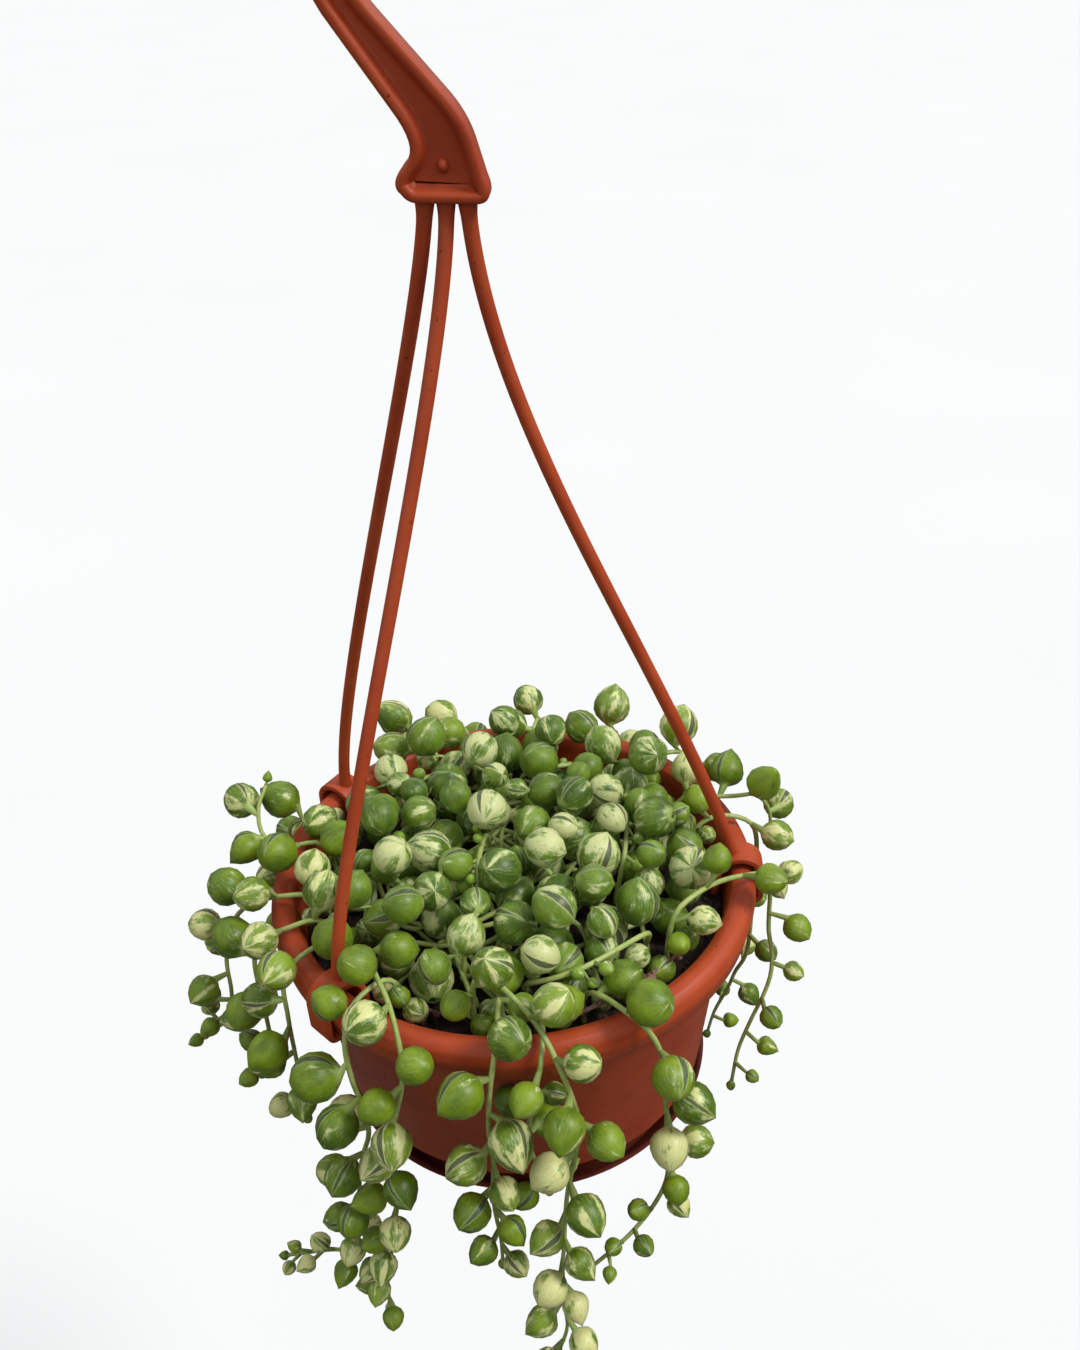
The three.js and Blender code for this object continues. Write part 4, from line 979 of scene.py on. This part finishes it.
# %% The trailing stems
STRANDS = {
    "strand_front_left_1": (4.9, 2.6, 2.05, 1.2, 11, [
        (-137, 45.5, -12.5), (-137, 45.5, -2), (-135, 47, 7), (-129, 51, 7.5), (-122, 55, 5.5),
        (-117, 60, 2.4), (-115, 62.8, -3), (-115.5, 63.5, -10), (-118, 64, -22), (-120, 64, -36),
        (-120.5, 64, -50), (-122.5, 64.5, -63), (-124.5, 65, -76), (-127, 65, -88),
        (-127, 66, -98)]),
    "strand_front_left_2": (5.8, 1.5, 1.9, 1.2, 23, [
        (-124, 46, -12.5), (-125, 46, -3), (-127, 49, 3.5), (-128.5, 54, 4.2), (-129, 59.5, 2.6),
        (-128, 63.5, -3), (-126.5, 65, -12), (-125, 65, -20), (-124.5, 65, -29), (-127, 65.5, -39),
        (-129, 66, -49), (-129.5, 66, -61), (-130.5, 66, -72), (-133, 67, -80), (-139, 69.6, -84),
        (-148, 77, -92)]),
    "strand_front_left_3": (5.4, 2.4, 1.8, 1.2, 31, [
        (-149, 46, -12.5), (-149, 46, -2), (-149.5, 50.5, 3), (-150, 56.5, 2.6), (-149.5, 62, -0.6),
        (-148.5, 63.6, -12), (-148, 64, -22), (-147, 64.5, -33), (-146.5, 65, -43)]),
    "strand_left_1": (5.4, 2, 1.8, 1.8, 47, [
        (-157, 46, -12.5), (-157, 46, -2), (-159, 50, 3), (-160.5, 56.2, 2.2), (-162.5, 61.2, -0.6),
        (-163, 65, -5), (-163, 66, -17), (-162, 66, -27), (-161.3, 66.5, -35),
        (-163, 69.5, -44.5)]),
    "strand_left_2": (5, 1.8, 1.75, 2, 53, [
        (-167, 46, -12.5), (-167, 46, -2), (-168.5, 50, 3.5), (-171, 56, 3), (-174, 61.5, 0.2),
        (-176, 67.5, -4.5), (-175, 71.5, -10.5), (-174, 73.3, -19), (-172.5, 73.5, -27),
        (-172, 75.5, -35), (-174, 82, -42)]),
    "strand_left_3": (5.2, 4.2, 1.5, 1.2, 61, [
        (172, 45, -12.5), (172, 45, -1), (172, 48, 5.5), (172, 54, 4.8), (171.5, 59.5, 4.4),
        (170, 63, 7), (167, 64, 12), (163, 63, 16)]),
    "strand_front_1": (5.1, 2.8, 1.85, 1.2, 71, [
        (-96, 46, -12.5), (-96, 46, -2), (-96, 49.5, 5), (-96, 55.5, 3.2), (-96.5, 61.5, 0.4),
        (-97.5, 63.8, -6), (-98.5, 64, -20), (-98.3, 64, -30), (-99, 64, -46), (-98.3, 64, -59),
        (-98.4, 64, -67)]),
    "strand_front_2": (4.7, 3.4, 2.15, 1.6, 83, [
        (-104, 45, -12.5), (-104, 45, 0), (-102, 46.5, 8), (-97.5, 49, 11), (-92.5, 52.5, 9.5),
        (-89, 56, 7.4), (-86.3, 60.5, 5), (-84, 64.6, -1), (-82.2, 65.4, -10), (-81.2, 65, -18.5),
        (-81.9, 65, -27.5), (-84, 65.5, -40), (-85, 66, -51), (-85.6, 66, -62), (-86.5, 66, -72),
        (-86.2, 66, -83), (-85.8, 66, -93.5), (-87.7, 66, -103)]),
    "strand_front_3": (4.5, 3.2, 1.7, 1.2, 97, [
        (-87, 46, -12.5), (-86.5, 46, -2), (-86, 50.5, 3), (-86.3, 56.5, 2.6), (-87.4, 62, -0.2),
        (-88.5, 63, -6), (-89.8, 62, -14), (-91, 61.5, -27), (-89.6, 61, -36), (-87.8, 61, -44)]),
    "strand_front_right_1": (4.9, 1.8, 2.05, 1.4, 101, [
        (-73, 46, -12.5), (-73, 46, -2), (-71.5, 51, 3.5), (-67.5, 57.5, 2.3), (-65, 62, -0.5),
        (-63.2, 63.8, -7), (-62.6, 64.5, -14), (-62.8, 65, -22), (-61.8, 65, -32), (-61.7, 65, -43),
        (-63, 65.5, -51), (-66.5, 66, -56.5), (-71.7, 67, -60.8), (-76, 68, -63), (-80, 69, -65)]),
    "strand_right_1": (3.9, 1.8, 3.5, 2.6, 113, [
        (-42, 46, -12.5), (-42, 46, -1), (-39, 47, 8), (-30, 50, 9.5), (-22, 53, 7),
        (-16, 57.5, 4.2), (-11.5, 61.5, 0.5), (-9.8, 63.4, -7), (-9.4, 63.6, -14), (-10, 63.8, -20),
        (-12, 64.8, -25), (-14, 64.8, -30), (-16, 63.5, -35), (-19, 61, -41), (-22, 58.5, -49.5),
        (-24, 57.5, -60)]),
    "strand_right_2": (4, 2.2, 3.3, 2, 127, [
        (8, 46, -12.5), (8, 46, -2), (8, 50.5, 3), (8, 56.5, 2.8), (7, 62, -0.4),
        (6, 63.4, -12), (5, 62.4, -24), (5, 62.4, -36), (5, 61.5, -45), (8, 60, -54), (10, 59, -62),
        (12, 56, -73), (14, 55, -83)]),
    "strand_right_3": (4.8, 3.6, 1.7, 2, 131, [
        (22, 46, -12.5), (22, 46, -2), (19, 50, 4), (16, 56, 3.2), (14, 61, 3.4),
        (12.5, 65, 4), (11, 68, 0.5), (10.5, 69, -7)]),
    "strand_back_right_1": (5, 3, 1.95, 1.2, 139, [
        (38, 46, -12.5), (38, 46, -1), (37, 50, 6), (36, 55.5, 5.5), (34.5, 60.5, 3),
        (35, 63, -4), (36, 63, -14), (37, 63, -26), (38, 63, -40), (40, 63, -52)]),
    "strand_back_right_2": (5.2, 2.6, 1.95, 1.2, 149, [
        (58, 46, -12.5), (58, 46, -2), (58, 50, 3.6), (58, 56.5, 2), (58.5, 61.6, -1.5),
        (59, 62.6, -12), (60, 63, -26), (59, 63, -38), (57, 63, -50), (56, 63, -60)]),
    "strand_back_1": (5, 3, 1.85, 1.2, 151, [
        (80, 46, -12.5), (80, 46, -2), (80, 50, 3.6), (80, 56.5, 2.6), (80, 62, -0.8),
        (81, 62.6, -12), (82, 63, -26), (81, 63, -40)]),
    "strand_back_2": (5, 2.4, 2.05, 1.2, 163, [
        (101, 46, -12.5), (101, 46, -2), (101, 50, 3.6), (101, 56.5, 2), (101, 61.6, -1.5),
        (100, 62.6, -12), (99, 63, -26), (100, 63, -40), (102, 63, -54), (102, 64, -66)]),
    "strand_back_left_1": (5.2, 3.6, 1.6, 1.4, 173, [
        (120, 46, -12.5), (120, 46, -2), (118, 50, 5), (116.5, 56, 5.2), (115, 61.5, 4),
        (115, 64.5, -3), (116, 65, -14), (118, 65, -26)]),
    "strand_back_left_2": (5, 2.6, 1.85, 1.2, 181, [
        (157, 46, -12.5), (157, 46, -2), (157, 50, 3.6), (158, 56.5, 2), (158, 61.6, -1.5),
        (158, 62.8, -12), (159, 63, -24), (160, 63, -36)]),
}
STEM_RADIUS, COARSE_STEP, FINE_STEP = 0.8, 10, 2

courses = {name: np.array([at(*point) for point in row[5]]) for name, row in STRANDS.items()}
coarse_lines = {name: stem_line(course, COARSE_STEP) for name, course in courses.items()}
for owner, line in enumerate(coarse_lines.values()):
    rods.add_line(line, STEM_RADIUS, owner)
print("trailing stems:", len(STRANDS))

# %% [markdown]
# Seven more stems run over the heap of leaves and dip into it at both ends. They are given
# as plain places, and the leaves settle round them.

# %% Stems over the heap
RUNNERS = [
    [(2, -37, -7), (1, -43.5, 3), (7, -46.5, 7.5), (14, -45, 8.6), (22, -40, 8.2), (29, -34, 6),
     (29, -27, -6.5)],
    [(-5, 6, -2), (-6, 1, 8.5), (-8, -10, 10), (-9, -20, 9), (-12, -28, 5), (-13, -32, -6.5)],
    [(2, 29, -6), (5, 30, 4), (12, 28, 7), (19, 30, 5.5), (25, 31, 1), (22, 27, -7)],
    [(31, 17, -7), (37, 11, 2), (37, 0, 4.5), (35, -8, 3), (31, -13, -6.5)],
    [(-31, 14, -6), (-31, 18, 3), (-27, 25, 5), (-22, 30, 5), (-18, 34, 2), (-15, 32, -7)],
    [(28, 17, -5), (30, 12, 5), (29, 3, 7), (27, -8, 6.5), (24, -13, -4)],
    [(-31, -8, -6), (-33, -3, 3.5), (-29, 4, 6.5), (-24, 9, 6.5), (-20, 12, -4)],
]
runner_courses = [np.array(runner, float) for runner in RUNNERS]
runner_lines = [stem_line(course, COARSE_STEP) for course in runner_courses]
for line in runner_lines:
    rods.add_line(line, STEM_RADIUS, MAT)
print("rods in all:", len(rods.rows))

# %% [markdown]
# ## Where the leaves grow
# A plant isn't random, but the turn and size of each leaf look it. A small generator of
# seeded numbers gives the same plant on every run.

# %% Seeded numbers
dice = {"state": 1}


def chance():
    dice["state"] = (dice["state"] * 1664525 + 1013904223) % 4294967296
    return dice["state"] / 4294967296


def mix(first, second, share):
    return (1 - share) * first + share * second


def between(low, high):
    return mix(low, high, chance())


def either_way(limit):
    return (2 * chance() - 1) * limit


print("the generator starts from", dice["state"])

# %% Whether a leaf or its stalk is clear
STALK_RADIUS = 0.6
CORE_RADIUS, CORE_CROWN, CORE_EDGE = 43, 1, -8.4


def is_clear(centre, radius, owner):
    reach = math.hypot(centre[0], centre[1])
    if reach < RIM_RADIUS - 6 and centre[2] - radius < soil_height(reach) + GAP_TO_OTHERS:
        return False
    for profile in (POT_PROFILE, SAUCER_PROFILE):
        if gap_to_profile(centre, profile) < radius + GAP_TO_OTHERS:
            return False
    gaps, owners = rods.gaps(centre)
    return bool((gaps >= radius + np.where(owners == owner, GAP_TO_OWN, GAP_TO_OTHERS)).all())


def is_stalk_clear(root, centre, owner):
    for share in (0.25, 0.5, 0.75):
        point = root + (centre - root) * share
        if math.hypot(point[0], point[1]) > CORE_RADIUS:
            if gap_to_profile(point, POT_PROFILE) < STALK_RADIUS + GAP:
                return False
        gaps, owners = rods.gaps(point)
        if (gaps[owners != owner] < STALK_RADIUS + GAP).any():
            return False
    return True


print("soil under the heap at", soil_height(0), "mm")

# %% [markdown]
# Along a stem the leaves stand left and right in turn, facing outwards. Each is tried at
# its own turn first, then swung round the stem, then made smaller, until it is clear.

# %% Leaves along a stem
SWINGS = (0, 35, -35, 70, -70, 110, -110, 150, -150, 180)
NARROW_TURN, WIDE_TURN, TIP_LEAN, FIRST_LEAF, BUD_RADIUS = 15, 65, 0.35, 17, 1.3


def unit(vector):
    return vector / math.sqrt((vector * vector).sum())


def walk(line, distance):
    left = distance
    for i in range(1, len(line)):
        along = line[i] - line[i - 1]
        span = math.sqrt((along * along).sum())
        if left <= span or i == len(line) - 1:
            return line[i - 1] + along * min(left / span, 1), along / span
        left -= span


def leaf_direction(point, along, turn):
    outwards = unit(np.array([point[0], point[1], 0.0]))
    outwards[2] = 0.6
    side = unit(np.cross(along, outwards))
    face = np.cross(side, along)
    angle = math.radians(turn)
    return unit(face * math.cos(angle) + side * math.sin(angle) + along * TIP_LEAN)


def fit_leaf(owner, stalk, point, along, turn, size):
    for shrink in (1, 0.85, 0.7):
        radius = size * shrink
        for swing in SWINGS:
            direction = leaf_direction(point, along, turn + swing)
            centre = point + direction * (STEM_RADIUS + stalk + radius)
            if is_clear(centre, radius, owner) and is_stalk_clear(point, centre, owner):
                return point, centre, radius
    return None


def grow_leaves(owner, line, big, small, pace, stalk, seed):
    dice["state"] = seed
    length = np.linalg.norm(np.diff(line, axis=0), axis=1).sum()
    leaves, distance, side = [], FIRST_LEAF, 1
    while distance < length - 1.5:
        share = (distance - FIRST_LEAF) / (length - FIRST_LEAF)
        size = mix(big, small, share * share) * (0.88 + 0.24 * chance())
        turn = side * between(NARROW_TURN, WIDE_TURN)
        point, along = walk(line, distance)
        leaf = fit_leaf(owner, stalk, point, along, turn, size)
        if leaf:
            leaves.append(leaf)
            rods.add_leaf(leaf, owner)
            rods.add(leaf[0], leaf[1], STALK_RADIUS, owner)
        distance += size * pace
        side = -side
    point, along = walk(line, length)
    return leaves + [(point, point + along * 1.6, BUD_RADIUS)]


strand_leaves = {}
for owner, (name, row) in enumerate(STRANDS.items()):
    strand_leaves[name] = grow_leaves(owner, coarse_lines[name], *row[:5])
print("leaves on trailing stems:", sum(len(leaves) for leaves in strand_leaves.values()))

# %% [markdown]
# On the soil the leaves lie in a heap. Each one is dropped at a few random places and
# keeps the lowest, as a ball would that rolls downhill, and rests on the low dome of
# stems or on a leaf below it.

# %% The heap of leaves
MAT_RADIUS, MAT_LEAVES, MAT_TRIES = 47, 98, 60
MAT_SMALLEST, MAT_LARGEST, MAT_SWAY, DOME = 3.3, 6, 5, 0.002
CEILING_DROP = 0.003


def core_height(radius):
    return mix(CORE_CROWN, CORE_EDGE, min(radius / CORE_RADIUS, 1) ** 2)


def rest_on(heap, x, y, reach, radius):
    floor_height = max(core_height(reach) + 0.5 * radius,
                       soil_height(reach) + GAP_TO_OTHERS + radius + 0.01)
    if not heap:
        return floor_height, None
    table = np.array([(*centre, size) for _, centre, size in heap])
    flat = (table[:, 0] - x) ** 2 + (table[:, 1] - y) ** 2
    span = table[:, 3] + radius + GAP_TO_OWN
    over = table[:, 2] + np.sqrt(np.maximum(span ** 2 - flat, 0))
    heights = np.where(flat < span ** 2, over, -1e9)
    best = int(heights.argmax())
    return (heights[best], heap[best]) if heights[best] > floor_height else (floor_height, None)


def heap_root(centre, radius, reach, sway, support):
    if support:
        return mix(support[1], centre, (support[2] - 1) / (support[2] + radius))
    inwards = min(1, (CORE_RADIUS - 4) / reach) * 0.94
    x, y = centre[0] * inwards + sway[0], centre[1] * inwards + sway[1]
    return np.array([x, y, core_height(min(math.hypot(x, y), CORE_RADIUS - 2)) - 0.8])


def heap_leaves(heap, count, smallest, largest, spread, ceiling=99):
    for _ in range(count):
        radius = mix(smallest, largest, math.sqrt(chance()))
        best = None
        for _ in range(MAT_TRIES):
            x, y = either_way(MAT_RADIUS), either_way(MAT_RADIUS)
            sway = either_way(MAT_SWAY), either_way(MAT_SWAY)
            reach = math.hypot(x, y)
            if reach > MAT_RADIUS:
                continue
            height, support = rest_on(heap, x, y, reach, radius)
            score = height + spread * reach * reach
            too_high = height + radius > ceiling - CEILING_DROP * reach * reach
            if too_high or (best and score >= best[3]):
                continue
            centre = np.array([x, y, height])
            root = heap_root(centre, radius, reach, sway, support)
            if is_clear(centre, radius, MAT) and is_stalk_clear(root, centre, MAT):
                best = (root, centre, radius, score)
        if best:
            heap.append(best[:3])
    return heap


dice["state"] = 2027
mat_leaves = heap_leaves([], MAT_LEAVES, MAT_SMALLEST, MAT_LARGEST, DOME)
print("leaves in the heap:", len(mat_leaves), "highest at",
      round(max(centre[2] + radius for _, centre, radius in mat_leaves), 1), "mm")

# %% [markdown]
# The CAD model's leaves are few, so they are a little larger than life. Here they shrink
# to their real size, and young ones are tried between them by the same rule. They prefer
# the outskirts of the heap, where they hide the soil near the rim, and most of those that
# are tried find no room. A few more sit low on the trailing stems, where these leave the
# soil, and tiny bright ones have just opened on the stems that run over the heap.

# %% Young leaves
TRUE_SIZE, STRAND_TRUE_SIZE, TRUE_STEM = 0.89, 0.95, 0.8 * STEM_RADIUS
YOUNG_TRIED, YOUNG_SMALLEST, YOUNG_LARGEST = 120, 2.4, 4.7
YOUNG_SPREAD, YOUNG_CEILING = -0.003, 19
LOW_PLACES, LOW_STALK, LOW_TURN, LOW_SIZES = (6.5, 10, 13.5), 1, 140, (2.6, 4)
SHOOT_PLACES, SHOOT_SHIFT = (9, 13, 17, 21, 25, 29), 3
SHOOT_STALKS, SHOOT_TURN, SHOOT_SIZES = (0.6, 2.2), 80, (1.1, 2.1)

mat_leaves = [(root, centre, radius * TRUE_SIZE) for root, centre, radius in mat_leaves]
young_leaves = heap_leaves(list(mat_leaves), YOUNG_TRIED, YOUNG_SMALLEST, YOUNG_LARGEST,
                           YOUNG_SPREAD, YOUNG_CEILING)[len(mat_leaves):]
for leaf in mat_leaves + young_leaves:
    rods.add_leaf(leaf, MAT)

low_leaves = {}
for owner, (name, line) in enumerate(coarse_lines.items()):
    low_leaves[name] = []
    for place in LOW_PLACES:
        point, along = walk(line, place)
        leaf = fit_leaf(owner, LOW_STALK, point, along, between(-LOW_TURN, LOW_TURN),
                        between(*LOW_SIZES))
        if leaf:
            low_leaves[name].append(leaf)
            rods.add_leaf(leaf, owner)
shoots = []
for line in runner_lines:
    for place in SHOOT_PLACES:
        point, along = walk(line, place + SHOOT_SHIFT * chance())
        leaf = fit_leaf(MAT, between(*SHOOT_STALKS), point, along,
                        between(-SHOOT_TURN, SHOOT_TURN), between(*SHOOT_SIZES))
        if leaf:
            shoots.append(leaf)
            rods.add_leaf(leaf, MAT)
print("young leaves:", len(young_leaves), "low leaves:", sum(map(len, low_leaves.values())),
      "shoots:", len(shoots))

# %% [markdown]
# ## One leaf
# All leaves are copies of one. It starts as a ball of radius 1. Its rings of corners move
# towards the top pole, which is drawn out into the small nib that every leaf of this plant
# has, while the leaf stays round below it. The faces round the bottom pole are inset and
# extruded into a stalk. Its two attributes are then written: the pattern needs to know
# where on the leaf it is, whatever the copy's turn and size.

# %% The leaf that all others are copied from
LEAF_RINGS, FIRST_RING, RING_STEP = 8, 14, 23
TIP_RISE, STALK_INSET, NECK, STALK_LENGTH = 0.075, 0.24, 0.1, 0.5

first_leaf = added(bpy.ops.mesh.primitive_uv_sphere_add, "first_leaf", segments=14,
                   ring_count=LEAF_RINGS, radius=1)
for corner in first_leaf.data.vertices:
    ring = round(math.acos(max(-1, min(1, corner.co.z))) * LEAF_RINGS / math.pi)
    if 0 < ring < LEAF_RINGS:
        polar = math.radians(FIRST_RING + RING_STEP * (ring - 1))
        stretch = math.sin(polar) / math.hypot(corner.co.x, corner.co.y)
        corner.co = (corner.co.x * stretch, corner.co.y * stretch, math.cos(polar))
pick(first_leaf, "VERT", lambda corner: corner.co.z > 0.999)
bpy.ops.transform.translate(value=(0, 0, TIP_RISE))
leave_edit()
pick(first_leaf, "FACE", lambda face: face.center.z < -0.9)
bpy.ops.mesh.inset(thickness=STALK_INSET, depth=0)
bpy.ops.transform.translate(value=(0, 0, -NECK))
bpy.ops.mesh.extrude_region_move(TRANSFORM_OT_translate={"value": (0, 0, -STALK_LENGTH)})
bpy.ops.mesh.dissolve_faces()
leave_edit()
smooth(first_leaf)
leaf_shape = np.array([corner.co for corner in first_leaf.data.vertices])
leaf_spot = first_leaf.data.attributes.new("leaf", "FLOAT_VECTOR", "POINT")
leaf_spot.data.foreach_set("vector", leaf_shape.ravel())
first_leaf.data.attributes.new("kind", "FLOAT_COLOR", "POINT")
stalk_corners = leaf_shape[:, 2] < -1.25
stalk_width = np.hypot(*leaf_shape[stalk_corners, :2].T).max()
print("one leaf has", len(first_leaf.data.polygons), "faces and is",
      round(np.ptp(leaf_shape[:, 2]), 2), "radii long")

# %% [markdown]
# A copy is turned so that its axis runs from its stalk's root to its centre, and rolled
# at random. Leaves in the heap lean every way, and hanging ones are a little longer. Some
# run out into their tip like a drop, and others are round. The stalk's end is moved to the
# root, so that each leaf is joined to what it grows from. A leaf's window faces the light,
# so the number for its place is worked out from the directions up and outwards.

# %% Copying the leaf
paint = np.random.default_rng(41)


def grow_leaf(root, centre, radius, material, length, cream, sway, pointed=0.06):
    axis = unit(unit(centre - root) + sway * unit(paint.normal(size=3)))
    side = unit(np.cross(axis, (0.3, 0.8, 0.52)))
    roll = paint.uniform(0, 2 * math.pi)
    side = side * math.cos(roll) + np.cross(axis, side) * math.sin(roll)
    turn = np.stack([side, np.cross(axis, side), axis])
    shape = leaf_shape * (1, 1, length)
    shape[:, 2] *= np.where(shape[:, 2] > 0, 1, 2 / length - 1)
    upper = paint.uniform(0, pointed) * np.maximum(leaf_shape[:, 2], 0)[:, None] ** 2
    shape *= 1 + upper * (-1, -1, 1)
    places = (shape * radius) @ turn + centre
    ring = leaf_shape[stalk_corners] * (1, 1, 0) * STALK_RADIUS / stalk_width
    places[stalk_corners] = ring @ turn + root
    places[:, 2] -= SEAT_HEIGHT
    leaf = first_leaf.copy()
    leaf.data = first_leaf.data.copy()
    bpy.context.collection.objects.link(leaf)
    leaf.data.vertices.foreach_set("co", (places * MM).ravel())
    light = np.array([*centre[:2] / max(np.linalg.norm(centre[:2]), MAT_RADIUS) * 0.5, 1.0])
    window = math.atan2(light @ turn[1], light @ turn[0]) + paint.normal(0, 0.7)
    numbers = (paint.uniform(), cream, window / (2 * math.pi) % 1, paint.uniform())
    leaf.data.attributes["kind"].data.foreach_set("color", np.tile(numbers, len(shape)))
    leaf.data.materials.append(material)
    return leaf


print("leaves can be copied now")

# %% [markdown]
# ## The heap
# The heap's grown leaves, its young ones and its shoots are three pieces. A fourth holds the
# stems over it and a tangle of older stems below, which shows between the leaves.

# %% Heap pieces
HEAP_SWAY, STRAND_SWAY = 1.1, 0.3


def cream_of(low, high, rare):
    """Most leaves have a little cream, some have much, and a rare one has it all over."""
    return 1.0 if paint.uniform() < rare else low + (high - low) * paint.uniform() ** 1.3


def heap_copies(leaves, rare):
    return [grow_leaf(*leaf, mat_leaf, paint.uniform(0.94, 1.06), cream_of(0.15, 0.93, rare),
                      HEAP_SWAY) for leaf in leaves]


dress(join("mat_grown_leaves", heap_copies(mat_leaves, 0.03)), mat_leaf, "mat_leaves", "pearl_mat")
dress(join("mat_young_leaves", heap_copies(young_leaves, 0.08)), mat_leaf, "mat_leaves")
copies = [grow_leaf(*leaf, shoot_leaf, 1.1, paint.uniform(0, 0.7), STRAND_SWAY) for leaf in shoots]
dress(join("mat_shoots", copies), shoot_leaf, "mat_leaves")

# %% Stems over and under the heap
TANGLE_STEMS, TANGLE_RING, TANGLE_LIMIT, TANGLE_STEP = 22, 41, 42, 3


def tangle_course():
    """A wandering line across the soil, with six points on the dome of hidden stems."""
    azimuth = paint.uniform(0, 360)
    points = []
    for share in np.linspace(0, 1, 6):
        first = at(azimuth, TANGLE_RING, 0)
        second = at(azimuth + paint.uniform(110, 250), TANGLE_RING, 0)
        x, y, _ = mix(first, second, share)
        x, y = x + paint.uniform(-7, 7), y + paint.uniform(-7, 7)
        reach = math.hypot(x, y)
        x, y = x * min(1, TANGLE_LIMIT / reach), y * min(1, TANGLE_LIMIT / reach)
        height = core_height(min(reach, TANGLE_LIMIT))
        points.append((x, y, height + paint.uniform(-0.4, 1.2)))
    return np.array(points)


stems = [tube("runner", stem_line(course, FINE_STEP), TRUE_STEM) for course in runner_courses]
stems += [tube("tangle", stem_line(tangle_course(), TANGLE_STEP), TRUE_STEM)
          for _ in range(TANGLE_STEMS)]
mat_stems = join("mat_stems", stems)
smooth(mat_stems)
dress(mat_stems, stem_skin, "mat_leaves")

# %% [markdown]
# ## Trailing stems with their leaves
# Each leafy stem is one piece and stands for its CAD node. Its stem thins out to the tip.
# A leaf's stalk starts on the CAD model's straight stretches, so it is moved to the
# nearest point of the smooth stem first. The leaves near the front carry more cream low
# down, as the photograph's do.

# %% Trailing pieces
CREAM_STRANDS = {"strand_front_2": 0.55}


def nearest_on(line, point):
    return line[((line - point) ** 2).sum(1).argmin()]


for name, leaves in strand_leaves.items():
    line = stem_line(courses[name], FINE_STEP)
    stem = tube(name + "_stem", line, TRUE_STEM, 0.72)
    smooth(stem)
    stem.data.materials.append(stem_skin)
    parts = [stem]
    for i, (root, centre, radius) in enumerate(low_leaves[name] + leaves):
        down = i / len(leaves)
        cream = cream_of(0.08, 0.86, 0.03) + CREAM_STRANDS.get(name, 0.0) * down
        length = mix(1, 1.22, down) * paint.uniform(0.96, 1.06)
        parts.append(grow_leaf(nearest_on(line, root), centre, radius * STRAND_TRUE_SIZE,
                               strand_leaf, length, min(cream, 1.0), STRAND_SWAY,
                               mix(0.06, 0.28, down)))
    dress(join(name + "_leafy", parts), stem_skin, "strand_leaves", name)

# %% [markdown]
# ## Soil crumbs and dry flower stalks
# Bark crumbs and a few perlite grains lie on the soil where it shows inside the rim. Each
# is a small rough lump: a ball of few faces, squashed and turned at random.

# %% Crumbs
CRUMBS, GRAINS, CRUMB_RING = 260, 6, (36, 50)


def lump(name, place, size, flatness):
    piece = added(bpy.ops.mesh.primitive_ico_sphere_add, name, subdivisions=1, radius=size * MM,
                  location=placed(place), rotation=tuple(paint.uniform(0, 6.28, 3)))
    piece.scale = (paint.uniform(1, 1.7), 1, flatness)
    for corner in piece.data.vertices:
        corner.co *= paint.uniform(0.75, 1.15)
    return piece


def on_soil(lift):
    radius = math.sqrt(paint.uniform(CRUMB_RING[0] ** 2, CRUMB_RING[1] ** 2))
    return at(paint.uniform(0, 360), radius, soil_height(radius) + lift)


crumbs = [lump("crumb", on_soil(0.3), paint.uniform(0.4, 1.1), 0.5) for _ in range(CRUMBS)]
dress(join("soil_crumbs", crumbs), bark, "potting_soil")
grains = [lump("grain", on_soil(0.6), paint.uniform(0.4, 0.8), 0.9) for _ in range(GRAINS)]
grains.append(lump("grain", at(-91, 45, SAUCER_FLOOR + 2.8), 0.8, 0.9))
dress(join("perlite_grains", grains), perlite, "potting_soil")

# %% [markdown]
# Two dry flower stalks lie on the soil near the front, one at the left and a forked one at
# the right. They are thin bent twigs with withered bits on them.

# %% Dry flower stalks
TWIGS = [
    [(-30, -33, -3.5), (-27, -36.5, -5.5), (-22.6, -38.6, -6.8), (-17.4, -40.6, -7.6)],
    [(10.8, -48.4, -2.6), (17, -46.4, -1.6), (23, -43.2, -1.6), (30.2, -38.8, -2)],
    [(28, -38.6, -3), (34.2, -35.2, -1.6), (39, -31.4, -1.8)],
]
twigs = []
for twig in TWIGS:
    line = stem_line(np.array(twig, float), 1.5)
    twigs.append(tube("twig", line, 0.55, 0.6, roundness=1))
    for point in line[::2]:
        twigs.append(lump("bit", point + paint.uniform(-1, 1, 3), paint.uniform(0.5, 1.2), 0.8))
dress(join("dry_flower_stalks", twigs), dry_stalk, "potting_soil")

# %% [markdown]
# ## Last steps
# The first leaf was only a pattern, so it goes.

# %% Remove the pattern leaf and finish
bpy.data.objects.remove(first_leaf)
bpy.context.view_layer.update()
